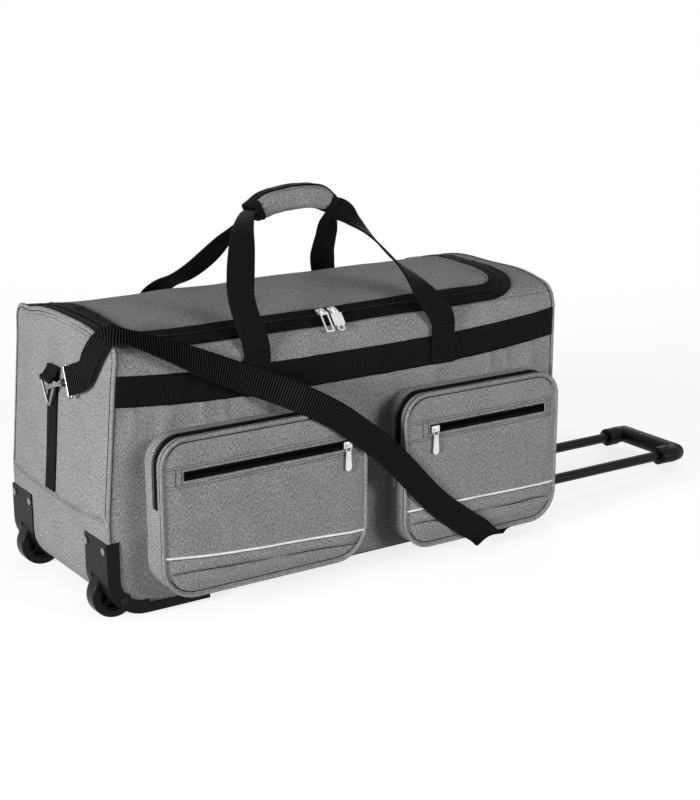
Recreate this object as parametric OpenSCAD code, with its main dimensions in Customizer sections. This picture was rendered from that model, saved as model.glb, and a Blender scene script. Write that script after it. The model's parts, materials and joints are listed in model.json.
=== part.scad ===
// Rolling duffel bag: a soft bag on a two-wheel chassis with a pull-out trolley
// handle, a lid opened by a U-shaped zip, two front pockets and a clip-on
// shoulder strap. +X runs along the bag towards the trolley handle, -Y faces
// the pockets, +Z is up, and the wheels and feet stand on Z = 0.

/* [Bag] */
// Length of the bag without wheels and handle
bag_length = 720; // [660:10:780]
// Depth of the bag from front to back
bag_depth = 294; // [280:2:310]
// Height of the crown of the lid above the floor
crown_z = 380; // [372:1:390]
// Height at which the side panels start to curve into the top
shoulder_z = 325; // [320:1:328]
// Radius of the long top edges
shoulder_r = 38; // [34:1:42]
// Height of the bag's underside above the floor
under_z = 11; // [10:0.5:13]
// Thickness of the padded fabric panels
panel_t = 3; // [2:0.5:4]
// How far the top of the wheel end leans inwards
end_lean = 22; // [10:1:30]

/* [Main zip] */
// Distance of the zip's front run behind the bag's front face
zip_inset = 25; // [23:1:28]
// Distance of the zip's wheel-side run from that end of the bag
zip_left = 40; // [38:1:50]
// Distance of the zip's handle-side run from that end of the bag
zip_right = 58; // [50:1:80]
// Radius of the two front corners of the zip
zip_corner_r = 47; // [35:1:60]
// Width of each of the two zip tapes
tape_w = 16; // [12:1:18]

/* [Pockets] */
// How far the pockets stand out from the front
pocket_depth = 45; // [35:1:50]
// Radius of the pocket corners
pocket_r = 35; // [25:1:45]
// Thickness of the pocket walls
pocket_t = 2.5; // [2:0.5:3]

/* [Webbing] */
// Width of the body bands and the carry handles
band_w = 40; // [36:1:44]
// Width of the shoulder strap
strap_w = 38; // [34:1:40]
// Thickness of one layer of handle or strap webbing
webbing_t = 2.5; // [2:0.1:2.8]
// Height of the lower edge of the body bands
band_z = 288; // [285:1:288]

/* [Wheels] */
// Outer radius of the wheels
wheel_r = 31.6; // [30:0.1:32]
// Width of the wheels
wheel_w = 22; // [20:1:23]
// Half the distance between the wheel centres
wheel_y = 113; // [112:1:114]
// Radius of the steel axles
axle_r = 4; // [3.5:0.1:4.5]

/* [Trolley] */
// Outer radius of the moving tubes
tube_r = 8; // [7.5:0.1:8.2]
// Half the distance between the two tubes
tube_y = 61.5; // [58:0.5:64]
// Height of the tube centres above the floor
tube_z = 24; // [23.9:0.1:24.5]
// How far the handle slides out of the bag
trolley_travel = 300; // [200:10:300]
// Radial clearance of the moving tubes in the fixed tubes
tube_fit = 0.05; // [0.02:0.01:0.1]

/* [Hidden] */
$fn = 48;

// Finishes
fabric = [0.55, 0.55, 0.56];
dark_fabric = [0.42, 0.42, 0.43];
webbing = [0.07, 0.07, 0.07];
plastic = [0.05, 0.05, 0.05];
nickel = [0.78, 0.78, 0.78];
white = [0.93, 0.93, 0.93];

// Shared sizes
half_l = bag_length / 2;
half_d = bag_depth / 2;
cut = bag_length;       // reaches past the bag, for cutting away half spaces
slip = 0.3;             // gap between soft pieces that don't move on each other
corner_r = 50;          // wheel-end bottom corner, seen from the front
rear_r = 25;            // handle-end bottom corner
edge_r = 18;            // long bottom edges
seam_z = 140;           // seam of the wheel end's lower panel
arc_steps = 10;

// Crown: an arc tangent to both shoulder arcs and reaching crown_z
crown_a = half_d - shoulder_r;
crown_h = crown_z - shoulder_r - shoulder_z;
crown_centre_z = ((crown_z - shoulder_r + shoulder_z) - crown_a * crown_a / crown_h) / 2;
crown_r = crown_z - crown_centre_z;
crown_angle = atan(crown_a / (shoulder_z - crown_centre_z));

// Main zip, lid hinge and carry handles
zip_y = -half_d + zip_inset;
zip_x0 = -half_l + zip_left;
zip_x1 = half_l - zip_right;
chain_gap = 0.3;        // half the gap between the two chain halves
chain_t = 0.8;          // height of a chain above its tape
hinge_y = half_d - 27.9;
lid_back_y = hinge_y - 0.3;
surround_y = hinge_y + 0.3;
hinge_z = shoulder_z + sqrt(pow(shoulder_r, 2) - pow(hinge_y - crown_a, 2));
handle_x0 = -141;
handle_x1 = 157;
handle_fold_z = band_z + band_w + 0.5;

// Wheels and their housings
wheel_x = -half_l + 19;
wheel_z = wheel_r;
well_r = wheel_r + 5;
well_w = wheel_w + 3;
well_t = 2.5;
boss_r = 10;
housing_in = 85;
housing_out = half_d + 2.5;
housing_top = 111;
housing_end_x = -217;
housing_wrap_t = 3;

// Trolley
tube_bore_r = 6.8;
outer_tube_r = 9.8;
socket_x = half_l + 5.5 + trolley_travel;
grip_x = socket_x + 40.5;
grip_r = 14;
collar_w = 19.5;

// Row frame: origin on the floor under the middle of the whole object
wheel_end_x = wheel_x - wheel_r;
grip_end_x = grip_x + grip_r;
front_y = -half_d - pocket_depth - 9.5;
back_y = half_d + 6.5;
centre_x = (grip_end_x + wheel_end_x) / 2;
centre_y = (front_y + back_y) / 2;

module in_row() translate([-centre_x, -centre_y, 0]) children();

// ---------------------------------------------------------------- outlines

function arc(cx, cy, r, a0, a1) = [
    for (i = [0 : arc_steps]) let (a = a0 + (a1 - a0) * i / arc_steps)
        [cx + r * cos(a), cy + r * sin(a)]
];

// Section of the bag across its length, d inside the outer surface: [y, z]
function end_outline(d) = concat(
    arc(-half_d + edge_r, under_z + edge_r, edge_r - d, 270, 180),
    arc(-crown_a, shoulder_z, shoulder_r - d, 180, 90 + crown_angle),
    arc(0, crown_centre_z, crown_r - d, 90 + crown_angle, 90 - crown_angle),
    arc(crown_a, shoulder_z, shoulder_r - d, 90 - crown_angle, 0),
    arc(half_d - edge_r, under_z + edge_r, edge_r - d, 0, -90)
);

// Section of the bag along its length, d inside the outer surface: [x, z]
function side_outline(d) = concat(
    [[-half_l + end_lean + d, crown_z + 20], [-half_l + d, seam_z]],
    arc(-half_l + corner_r, under_z + corner_r, corner_r - d, 180, 270),
    arc(half_l - rear_r, under_z + rear_r, rear_r - d, 270, 360),
    [[half_l - d, crown_z + 20]]
);

// Plan of the lid, d outside the zip's chain; open towards the hinge: [x, y]
function lid_outline(d) = concat(
    [[zip_x0 - d, cut]],
    arc(zip_x0 + zip_corner_r, zip_y + zip_corner_r, zip_corner_r + d, 180, 270),
    arc(zip_x1 - zip_corner_r, zip_y + zip_corner_r, zip_corner_r + d, 270, 360),
    [[zip_x1 + d, cut]]
);

module along_x(x0, x1) translate([x0, 0, 0]) rotate([90, 0, 90])
    linear_extrude(x1 - x0) children();
module along_y(y0, y1) translate([0, y1, 0]) rotate([90, 0, 0])
    linear_extrude(y1 - y0) children();
module slab(p0, p1) translate(p0) cube(p1 - p0);
module mirror_y() {
    children();
    mirror([0, 1, 0]) children();
}

// Space inside the section across the bag, and inside the section along it
module tunnel(d) along_x(-cut, cut) polygon(end_outline(d));
module side_space(d) along_y(-cut, cut) polygon(side_outline(d));

// Layer of the bag's wall between the depths d0 (outer) and d1 (inner), inside the ends
module wall(d0, d1, ends = panel_t) intersection() {
    difference() {
        tunnel(d0);
        tunnel(d1);
    }
    side_space(ends);
}

// Layer of both ends between the depths d0 and d1
module end_wall(d0, d1) difference() {
    intersection() {
        tunnel(0);
        side_space(d0);
    }
    side_space(d1);
}

module lid_prism(d, y1) linear_extrude(cut) intersection() {
    polygon(lid_outline(d));
    translate([-cut, -cut]) square([2 * cut, cut + y1]);
}

module wheel_wells(extra) mirror_y()
    translate([wheel_x, wheel_y, wheel_z]) rotate([90, 0, 0])
        cylinder(r = well_r + extra, h = well_w + 2 * extra, center = true);

// What the panels leave free for the wheel housings: wells and axle bosses
module housing_space() {
    wheel_wells(well_t + slip);
    mirror_y() translate([wheel_x, housing_in + 3 - slip, wheel_z]) rotate([-90, 0, 0])
        cylinder(r = boss_r + slip, h = half_d);
}

// ---------------------------------------------------------- ribbons

function unit(v) = v / norm(v);
function spline_at(a, b, c, d, t) =
    0.5 * (2 * b + (c - a) * t + (2 * a - 5 * b + 4 * c - d) * t * t
        + (3 * b - a - 3 * c + d) * t * t * t);
function spline(p, steps) = [
    for (i = [0 : len(p) - 2]) for (k = [0 : steps - 1])
        spline_at(p[max(i - 1, 0)], p[i], p[i + 1], p[min(i + 2, len(p) - 1)], k / steps),
    p[len(p) - 1]
];

// A ribbon along a route of [centre, direction of its width, [width, thickness]]
module ribbon(route, steps = 4) {
    at = spline([for (r = route) r[0]], steps);
    across = spline([for (r = route) r[1]], steps);
    size = spline([for (r = route) r[2]], steps);
    last = len(at) - 1;
    rings = [
        for (i = [0 : last])
            let (along = unit(at[min(i + 1, last)] - at[max(i - 1, 0)]),
                 normal = unit(cross(along, across[i])),
                 side = cross(normal, along) * size[i][0] / 2,
                 up = normal * size[i][1] / 2)
            each [at[i] - side - up, at[i] + side - up, at[i] + side + up, at[i] - side + up]
    ];
    sides = [
        for (i = [0 : last - 1]) for (k = [0 : 3])
            let (a = 4 * i + k, b = 4 * i + (k + 1) % 4)
            each [[a, a + 4, b], [b, a + 4, b + 4]]
    ];
    caps = [[0, 1, 2], [0, 2, 3], [4 * last, 4 * last + 2, 4 * last + 1],
            [4 * last, 4 * last + 3, 4 * last + 2]];
    polyhedron(rings, concat(sides, caps));
}

// ---------------------------------------------------------- fabric body

// Long side of the bag, facing -Y; the back is its mirror image
module side_panel() difference() {
    intersection() {
        wall(0, panel_t);
        slab([-cut, -cut, under_z + edge_r], [cut, zip_y - tape_w, cut]);
    }
    housing_space();
}

module front_panel() color(fabric) in_row() side_panel();
module back_panel() color(fabric) in_row() mirror([0, 1, 0]) side_panel();

module left_end_panel() color(fabric) in_row() difference() {
    intersection() {
        end_wall(0, panel_t);
        slab([-cut, -cut, 0], [-half_l + corner_r, cut, cut]);
    }
    housing_space();
}

module right_end_panel() color(fabric) in_row() difference() {
    intersection() {
        end_wall(0, panel_t);
        slab([half_l - rear_r, -cut, 0], [cut, cut, cut]);
    }
    mirror_y() translate([half_l - rear_r, tube_y, tube_z]) rotate([0, 90, 0])
        cylinder(r = outer_tube_r, h = 2 * rear_r);
}

module bottom_panel() color(webbing) in_row() difference() {
    intersection() {
        wall(0, panel_t, 0);
        slab([-half_l + corner_r, -cut, 0], [half_l - rear_r, cut, under_z + edge_r]);
    }
    housing_space();
}

module base_board() color(plastic) in_row() {
    board_t = 3;
    difference() {
        intersection() {
            tunnel(panel_t + slip);
            side_space(panel_t + slip);
            slab([-cut, -cut, tube_z + outer_tube_r + 0.2],
                 [cut, cut, tube_z + outer_tube_r + 0.2 + board_t]);
        }
        housing_space();
    }
}

module top_surround() color(dark_fabric) in_row() intersection() {
    difference() {
        wall(0, panel_t);
        lid_prism(tape_w, surround_y);
    }
    slab([-cut, zip_y - tape_w, shoulder_z - shoulder_r], [cut, -zip_y + tape_w, cut]);
}

// One half of the U-shaped zip, from d0 to d1 outside the middle of its chain
module zip_half(d0, d1, chain_0, chain_1, y1) {
    tape_t = 1.2;
    intersection() {
        union() {
            intersection() {
                wall(0, tape_t);
                difference() {
                    lid_prism(d1, y1);
                    lid_prism(d0, cut);
                }
            }
            intersection() {
                wall(-chain_t, 0);
                difference() {
                    lid_prism(chain_1, y1);
                    lid_prism(chain_0, cut);
                }
            }
        }
        slab([-cut, zip_y - tape_w, shoulder_z], [cut, cut, cut]);
    }
}

module surround_zip_tape() color(webbing) in_row()
    zip_half(chain_gap, tape_w, chain_gap, 3, surround_y);

module lid_zip_tape() color(webbing) in_row()
    zip_half(-tape_w, -chain_gap, -3, -chain_gap, lid_back_y);

module lid_panel() color(dark_fabric) in_row() intersection() {
    wall(0, panel_t);
    translate([0, 0, shoulder_z]) lid_prism(-tape_w, lid_back_y);
}

module end_reinforcement() color(fabric) in_row() {
    cloth_t = 1.2;
    difference() {
        intersection() {
            tunnel(0);
            side_space(-cloth_t);
            slab([-cut, -cut, under_z + corner_r / 2], [-half_l + corner_r, cut, seam_z]);
        }
        side_space(0);
        mirror_y() slab([-cut, housing_in - slip, 0], [0, cut, housing_top + slip]);
    }
}

module end_piping() color(dark_fabric) in_row() {
    pipe_w = 5;
    pipe_t = 1.5;
    difference() {
        intersection() {
            tunnel(-pipe_t);
            side_space(0);
        }
        tunnel(0);
        side_space(pipe_w);
        slab([-cut, -cut, 0], [0, cut, housing_top + slip]);
        slab([-cut, -cut, 0], [cut, cut, under_z]);
    }
}

module body_bands() color(webbing) in_row() {
    band_t = 2;
    pipe_w = 5 + slip;
    difference() {
        intersection() {
            tunnel(-band_t);
            side_space(pipe_w);
            slab([-cut, -cut, band_z], [cut, cut, band_z + band_w]);
        }
        tunnel(0);
    }
}

// ---------------------------------------------------------- front pockets

left_pocket_box = [-305, 0, 20, 245];       // x0, x1, z0, z1
right_pocket_box = [66, 331, 27, 245];

// Outline of a pocket, d inside its edge
module pocket_outline(box, d) {
    r = pocket_r - d;
    for (x = [box[0] + pocket_r, box[1] - pocket_r])
        for (z = [box[2] + pocket_r, box[3] - pocket_r]) translate([x, z]) circle(r);
    translate([box[0] + pocket_r, box[2] + d])
        square([box[1] - box[0] - 2 * pocket_r, box[3] - box[2] - 2 * d]);
    translate([box[0] + d, box[2] + pocket_r])
        square([box[1] - box[0] - 2 * d, box[3] - box[2] - 2 * pocket_r]);
}

pocket_face_y = -half_d - pocket_depth;
window_h = 14;
left_window = [-274, -22, 197];             // x0, x1, middle height
right_window = [106, 310, 195];

// Gusset zip: a band round the pocket's rim, set into the gusset wall
gusset_y0 = pocket_face_y + 12;
gusset_y1 = gusset_y0 + 20;
gusset_tape_t = 1;

module gusset_band(box, d0, d1) along_y(gusset_y0, gusset_y1) difference() {
    pocket_outline(box, d0);
    pocket_outline(box, d1);
}

module pocket(box, window) difference() {
    union() {
        difference() {
            along_y(pocket_face_y, -half_d) pocket_outline(box, 0);
            along_y(pocket_face_y + pocket_t, -half_d + 1) pocket_outline(box, pocket_t);
        }
        along_y(pocket_face_y - 1.5, pocket_face_y + 4) difference() {
            pocket_outline(box, -1.5);
            pocket_outline(box, 4);
        }
    }
    slab([window[0], pocket_face_y - 1, window[2] - window_h / 2],
         [window[1], pocket_face_y + pocket_t + 1, window[2] + window_h / 2]);
    gusset_band(box, -1, gusset_tape_t);
}

module left_pocket() color(fabric) in_row() pocket(left_pocket_box, left_window);
module right_pocket() color(fabric) in_row() pocket(right_pocket_box, right_window);

// Tape and chain of a straight zip that fills a pocket's window
module window_zip(window) {
    slab([window[0], pocket_face_y + 1, window[2] - window_h / 2],
         [window[1], pocket_face_y + 2, window[2] + window_h / 2]);
    slab([window[0], pocket_face_y + 0.2, window[2] - 2.5],
         [window[1], pocket_face_y + 1, window[2] + 2.5]);
}

module pocket_front_zips() color(webbing) in_row() {
    window_zip(left_window);
    window_zip(right_window);
}

module pocket_gusset_zips() color(webbing) in_row()
    for (box = [left_pocket_box, right_pocket_box]) gusset_band(box, 0, gusset_tape_t);

module reflective_piping() color(white) in_row() {
    cord_r = 1.25;
    for (line = [[-300, 93, -5, 72], [71, 83, 326, 80]]) {
        run = [line[2] - line[0], 0, line[3] - line[1]];
        translate([line[0], pocket_face_y - cord_r, line[1]])
            rotate([0, 90 - atan2(run[2], run[0]), 0]) cylinder(r = cord_r, h = norm(run));
    }
}

// ---------------------------------------------------------- carry handles

anchor_y = half_d + 2;

module handle_anchors() color(webbing) in_row() mirror_y()
    for (x = [handle_x0, handle_x1])
        slab([x - band_w / 2, -anchor_y - webbing_t, band_z],
             [x + band_w / 2, -anchor_y, band_z + band_w]);

flat = [band_w, webbing_t];
gripped = [22, 5];

// Route of a front leg from its fold at the band up to the grip
function leg_route(x, lean, out, grip_x_in, grip_z) = [
    [[x, -anchor_y - webbing_t / 2, handle_fold_z], [1, 0, 0], flat],
    [[x, -anchor_y - webbing_t / 2, handle_fold_z + 8], [1, 0, 0], flat],
    [[x, -anchor_y - webbing_t / 2, handle_fold_z + 16], [1, 0, 0], flat],
    [[x + out * 1.5, -142, 375], [1, 0, 0], flat],
    [[x + lean * 0.12 + out, -126, 402], [1, 0, 0], flat],
    [[x + lean * 0.32, -102, 430], [1, -0.15, 0], flat],
    [[x + lean * 0.58, -68, 458], [0.85, -0.5, 0], flat],
    [[x + lean * 0.86, -30, grip_z - 8], [0.4, -0.9, 0.1], [30, 4]],
    [[grip_x_in, grip_y, grip_z], [0, -1, 0], gripped],
];

grip_y = -3;
front_grip_z = 487;
back_grip_z = 497;

module handle_loop(grip_z) {
    left = leg_route(handle_x0, 70, -5, -56, grip_z);
    right = leg_route(handle_x1, -86, -14, 56, grip_z);
    middle = [for (x = [-25, 25]) [[x, grip_y, grip_z + 1], [0, -1, 0], gripped]];
    right_turned = [for (r = right) [r[0], [-r[1][0], r[1][1], r[1][2]], r[2]]];
    ribbon(concat(left, middle, [for (i = [len(right_turned) - 1 : -1 : 0]) right_turned[i]]));
}

module front_handle() color(webbing) in_row() handle_loop(front_grip_z);
module back_handle() color(webbing) in_row() mirror([0, 1, 0]) handle_loop(back_grip_z);

// Wrap: a padded sleeve round both grips, with its closing slit at the back
module grip_wrap() color(fabric) in_row() {
    wrap_l = 100;
    wrap_in = [30, 26];
    wrap_t = 4.5;
    wrap_z = (front_grip_z + back_grip_z) / 2 + 1;
    slit = [back_grip_z - 5, back_grip_z + 9];
    difference() {
        translate([-wrap_l / 2, 0, wrap_z]) rotate([90, 0, 90]) linear_extrude(wrap_l)
            difference() {
                rounded_box(wrap_in[0] + 2 * wrap_t, wrap_in[1] + 2 * wrap_t, 10);
                rounded_box(wrap_in[0], wrap_in[1], 6);
            }
        slab([-cut, 0, slit[0]], [cut, cut, slit[1]]);
    }
}

module rounded_box(w, h, r) {
    for (x = [-1, 1]) for (y = [-1, 1])
        translate([x * (w / 2 - r), y * (h / 2 - r)]) circle(r);
    square([w - 2 * r, h], center = true);
    square([w, h - 2 * r], center = true);
}

// ---------------------------------------------------------- wheels and chassis

// Moulded corner for the wheel at +Y; the front one is its mirror image
module wheel_housing() difference() {
    intersection() {
        union() {
            // Wrap over the corner and the underside
            along_y(housing_in, housing_out) difference() {
                polygon(side_outline(-housing_wrap_t));
                polygon(side_outline(0));
            }
            // Flange on the bag's side
            along_y(half_d, housing_out) difference() {
                polygon(side_outline(-housing_wrap_t));
                polygon(side_outline(15));
            }
            // Walls of the wheel well
            intersection() {
                translate([wheel_x, wheel_y, wheel_z]) rotate([90, 0, 0])
                    cylinder(r = well_r + well_t, h = well_w + 2 * well_t, center = true);
                side_space(-housing_wrap_t);
            }
            // Bosses that hold the axle
            translate([wheel_x, housing_in + 3, wheel_z]) rotate([-90, 0, 0])
                cylinder(r = boss_r, h = housing_out - housing_in - 3);
        }
        slab([-cut, 0, under_z - housing_wrap_t], [housing_end_x, cut, housing_top]);
    }
    wheel_wells(0);
    // Room for the pocket that comes down over the flange
    slab([left_pocket_box[0] - slip, half_d, left_pocket_box[2] - slip], [0, cut, cut]);
    translate([wheel_x, housing_in, wheel_z]) rotate([-90, 0, 0])
        cylinder(r = axle_r + 0.02, h = 80);
    for (hole = rivet_points) translate([-half_l - 10, hole[0], hole[1]]) rotate([0, 90, 0])
        cylinder(r = rivet_r, h = 20);
}

rivet_z = housing_top - 11;
rivet_points = [[housing_in + 5.5, rivet_z], [half_d - 6, rivet_z]];
rivet_r = 2;
rivet_head_r = 5;
rivet_head_t = 1.6;

module back_wheel_housing() color(plastic) in_row() wheel_housing();
module front_wheel_housing() color(plastic) in_row() mirror([0, 1, 0]) wheel_housing();

module at_wheel(side) translate([wheel_x, side * wheel_y, wheel_z]) rotate([90, 0, 0])
    children();

hub_r = 22;

module tyre(side) at_wheel(side) rotate_extrude() difference() {
    union() {
        translate([hub_r, -wheel_w / 2]) square([wheel_r - hub_r - 3, wheel_w]);
        translate([hub_r, -wheel_w / 2 + 3]) square([wheel_r - hub_r, wheel_w - 6]);
        for (z = [-1, 1]) translate([wheel_r - 3, z * (wheel_w / 2 - 3)]) circle(3);
    }
    translate([0, -wheel_w]) square([hub_r, 2 * wheel_w]);
}

module wheel_hub(side) at_wheel(side) {
    spokes = 5;
    difference() {
        union() {
            cylinder(r = 8, h = wheel_w + 2, center = true);
            difference() {
                cylinder(r = hub_r, h = wheel_w - 4, center = true);
                cylinder(r = hub_r - 3, h = wheel_w, center = true);
            }
            cylinder(r = hub_r - 2, h = 3, center = true);
            for (i = [0 : spokes - 1]) rotate([0, 0, i * 360 / spokes])
                translate([7, -1.5, -(wheel_w - 6) / 2]) cube([hub_r - 9, 3, wheel_w - 6]);
        }
        cylinder(r = axle_r + 0.06, h = 2 * wheel_w, center = true);
    }
}

module front_tyre() color(plastic) in_row() tyre(-1);
module back_tyre() color(plastic) in_row() tyre(1);
module front_wheel_hub() color(plastic) in_row() wheel_hub(-1);
module back_wheel_hub() color(plastic) in_row() wheel_hub(1);

module axles() color(nickel) in_row() mirror_y() {
    translate([wheel_x, housing_in + 3, wheel_z]) rotate([-90, 0, 0])
        cylinder(r = axle_r, h = housing_out - housing_in - 3);
    translate([wheel_x, housing_out, wheel_z]) rotate([-90, 0, 0])
        cylinder(r = axle_r + 2, h = 1.5);
}

module housing_rivets() color(nickel) in_row() mirror_y() for (hole = rivet_points) {
    face_x = -half_l - housing_wrap_t;
    translate([face_x - rivet_head_t, hole[0], hole[1]]) rotate([0, 90, 0])
        cylinder(r = rivet_head_r, h = rivet_head_t);
    translate([face_x, hole[0], hole[1]]) rotate([0, 90, 0])
        cylinder(r = rivet_r - 0.05, h = housing_wrap_t);
}

foot_at = [half_l - 35, half_d - 65, 0];
foot_r = 13;
sole_r = 11;
sole_h = 4;

module rear_feet() color(plastic) in_row() mirror_y() translate(foot_at) {
    cylinder(r = sole_r, h = sole_h);
    translate([0, 0, sole_h]) cylinder(r = foot_r, h = under_z - sole_h);
}

// ---------------------------------------------------------- trolley

module at_tubes(x) mirror_y() translate([x, tube_y, tube_z]) rotate([0, 90, 0]) children();

crossbar_x = -half_l + corner_r + 6;
crossbar_w = 24;

module outer_tubes() color(nickel) in_row() at_tubes(crossbar_x + 4) difference() {
    cylinder(r = outer_tube_r, h = half_l - crossbar_x - 4);
    translate([0, 0, -1]) cylinder(r = tube_r + tube_fit, h = bag_length);
}

module chassis_crossbar() color(plastic) in_row() difference() {
    slab([crossbar_x, -tube_y - 20, under_z + panel_t],
         [crossbar_x + crossbar_w, tube_y + 20, tube_z + outer_tube_r + 0.2]);
    at_tubes(crossbar_x + 4) cylinder(r = outer_tube_r, h = crossbar_w);
}

module tube_guide() color(plastic) in_row() difference() {
    slab([half_l - rear_r, -tube_y - 22, under_z + 1], [half_l + 4, tube_y + 22, tube_z + 16]);
    intersection() {
        tunnel(0);
        side_space(0);
    }
    at_tubes(half_l - rear_r - 1) cylinder(r = outer_tube_r, h = rear_r + 1);
    at_tubes(half_l - 1) cylinder(r = tube_r + 0.25, h = 10);
    slab([half_l - rear_r - 1, -cut, 0], [half_l - rear_r + 8, cut, under_z]);
}

inner_start_x = half_l - 120;
tube_end_x = grip_x - 9;

module inner_tubes() color(plastic) in_row() at_tubes(inner_start_x) difference() {
    cylinder(r = tube_r, h = tube_end_x - inner_start_x);
    translate([0, 0, -1]) cylinder(r = tube_bore_r, h = bag_length);
}

button_l = 36;
button_h = 10;
button_travel = 3;
pocket_floor_x = grip_x + 2;
yoke_r = 2.5;
yoke_x = tube_end_x + yoke_r + button_travel + 0.5;

module trolley_grip() color(plastic) in_row() difference() {
    union() {
        translate([grip_x, -tube_y, tube_z]) rotate([-90, 0, 0])
            cylinder(r = grip_r, h = 2 * tube_y);
        mirror_y() translate([grip_x, tube_y, tube_z]) sphere(r = grip_r);
        at_tubes(socket_x + collar_w) cylinder(r = 13, h = grip_x - socket_x - collar_w);
    }
    at_tubes(socket_x) cylinder(r = tube_r, h = tube_end_x - socket_x);
    // Channel for the yoke and the pocket for the button
    slab([tube_end_x - 0.2, -tube_y - 4, tube_z - yoke_r - 1],
         [yoke_x + yoke_r + 0.4, tube_y + 4, tube_z + yoke_r + 1]);
    slab([pocket_floor_x, -button_l / 2 - 0.3, tube_z - button_h / 2 - 0.3],
         [grip_x + 20, button_l / 2 + 0.3, tube_z + button_h / 2 + 0.3]);
    translate([tube_end_x, 10, tube_z]) rotate([0, 90, 0]) cylinder(r = 2.3, h = 20);
}

module grip_collars() color(plastic) in_row() at_tubes(socket_x) difference() {
    cylinder(r = 14.5, h = collar_w);
    translate([0, 0, -1]) cylinder(r = tube_r, h = 2 * collar_w);
}

spring_y = -8;

module release_button() color(plastic) in_row() difference() {
    slab([pocket_floor_x + 4, -button_l / 2, tube_z - button_h / 2],
         [grip_x + grip_r, button_l / 2, tube_z + button_h / 2]);
    translate([pocket_floor_x, spring_y, tube_z]) rotate([0, 90, 0]) cylinder(r = 3.4, h = 9.5);
}

module release_rods() color(nickel) in_row() {
    translate([yoke_x, -tube_y, tube_z]) rotate([-90, 0, 0]) cylinder(r = yoke_r, h = 2 * tube_y);
    at_tubes(inner_start_x + 10) cylinder(r = 2, h = yoke_x - inner_start_x - 10);
    translate([yoke_x, 10, tube_z]) rotate([0, 90, 0])
        cylinder(r = 2, h = pocket_floor_x + 4 - yoke_x);
}

module button_spring() color(nickel) in_row() translate([pocket_floor_x, spring_y, tube_z])
    rotate([0, 90, 0]) difference() {
        cylinder(r = 3, h = 5.5);
        translate([0, 0, -1]) cylinder(r = 2, h = 10);
    }

// ---------------------------------------------------------- strap hardware

ring_y = 14;
ring_z = 290;
wire_r = 2;
hook_reach = 41;        // from a hook's collar to the middle of its nose
hook_half = 6;          // half the distance between the hook's two legs
hook_rod = 2.4;         // half the width of a leg

// Leaning surface of the wheel end at height z
function left_face_x(z) = -half_l + end_lean * max(z - seam_z, 0) / (crown_z + 20 - seam_z);

ring_gap = webbing_t + hook_half + hook_rod + 0.5;
ring_left_x = left_face_x(ring_z - 20) - ring_gap;
ring_right_x = half_l + ring_gap;

module rod(a, b, r) {
    v = b - a;
    translate(a) rotate([0, acos(v[2] / norm(v)), atan2(v[1], v[0])]) cylinder(r = r, h = norm(v));
}

module wire_loop(points, r) for (i = [0 : len(points) - 1]) {
    rod(points[i], points[(i + 1) % len(points)], r);
    translate(points[i]) sphere(r = r * 1.05);
}

// Triangular ring hanging from its bar
module ring(x) wire_loop([[x, ring_y - 22, ring_z], [x, ring_y + 22, ring_z],
                          [x, ring_y + 3, ring_z - 34], [x, ring_y - 3, ring_z - 34]], wire_r);

module left_ring() color(nickel) in_row() ring(ring_left_x);
module right_ring() color(nickel) in_row() ring(ring_right_x);

// Webbing sewn up each end, with the loop that holds the ring
module end_webbing_at(ring_x, face_low, face_high, out) {
    w = 36;
    loop_w = 25;
    loop_in = wire_r + 0.1;
    loop_out = loop_in + webbing_t;
    // Vertical strip on the end panel
    translate([0, ring_y + 4 - w / 2, 0]) along_y(0, w)
        polygon([[face_low, seam_z + 2], [face_high, ring_z + 14],
                 [face_high + out * webbing_t, ring_z + 14],
                 [face_low + out * webbing_t, seam_z + 2]]);
    // Loop round the ring's bar
    translate([ring_x, ring_y - loop_w / 2, ring_z]) rotate([-90, 0, 0]) difference() {
        cylinder(r = loop_out, h = loop_w);
        translate([0, 0, -1]) cylinder(r = loop_in, h = loop_w + 2);
    }
    slab([min(ring_x, face_high + out * webbing_t), ring_y - loop_w / 2, ring_z + loop_in],
         [max(ring_x, face_high + out * webbing_t), ring_y + loop_w / 2, ring_z + loop_out]);
}

module end_webbing() color(webbing) in_row() {
    end_webbing_at(ring_left_x, -half_l, left_face_x(ring_z + 14), -1);
    end_webbing_at(ring_right_x, half_l, half_l, 1);
}

// Snap hook along +X of its own frame, its loop in the XY plane, swivel collar at 0
gate_r = 1.8;
gate_pin_x = 16;
stem_r = 2;
bail_x = 18;            // distance of the strap's bar behind the collar
bail_r = 1.6;
hook_t = 5.6;
hook_out = hook_half + hook_rod;
hook_in = hook_half - hook_rod;

module hook_frame() difference() {
    union() {
        rotate([0, 90, 0]) cylinder(r = 5, h = 9);
        translate([0, 0, -hook_t / 2]) linear_extrude(hook_t) difference() {
            union() {
                translate([hook_reach, 0]) circle(hook_out);
                translate([gate_pin_x, -hook_out]) square([hook_reach - gate_pin_x, 2 * hook_out]);
                polygon([[7, -4], [gate_pin_x, -hook_out], [gate_pin_x, hook_out], [7, 4]]);
            }
            translate([hook_reach, 0]) circle(hook_in);
            translate([gate_pin_x + 2, -hook_in]) square([hook_reach - gate_pin_x - 2, 2 * hook_in]);
            translate([gate_pin_x - 3, -hook_out - 1])
                square([hook_reach - gate_pin_x + 3, hook_out + 1 - hook_in + 0.4]);
        }
        // Cheeks and pin that carry the gate
        for (z = [-1, 1]) translate([0, 0, z * (hook_t / 2 + 0.5) - 0.5])
            linear_extrude(1) polygon([[9, -1], [13, -9.5], [19, -9.5], [19, -4.5], [15, -1]]);
        translate([gate_pin_x, -hook_half, -hook_t / 2]) cylinder(r = 0.9, h = hook_t);
    }
    translate([-1, 0, 0]) rotate([0, 90, 0]) cylinder(r = stem_r + 0.05, h = 7.5);
}

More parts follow.
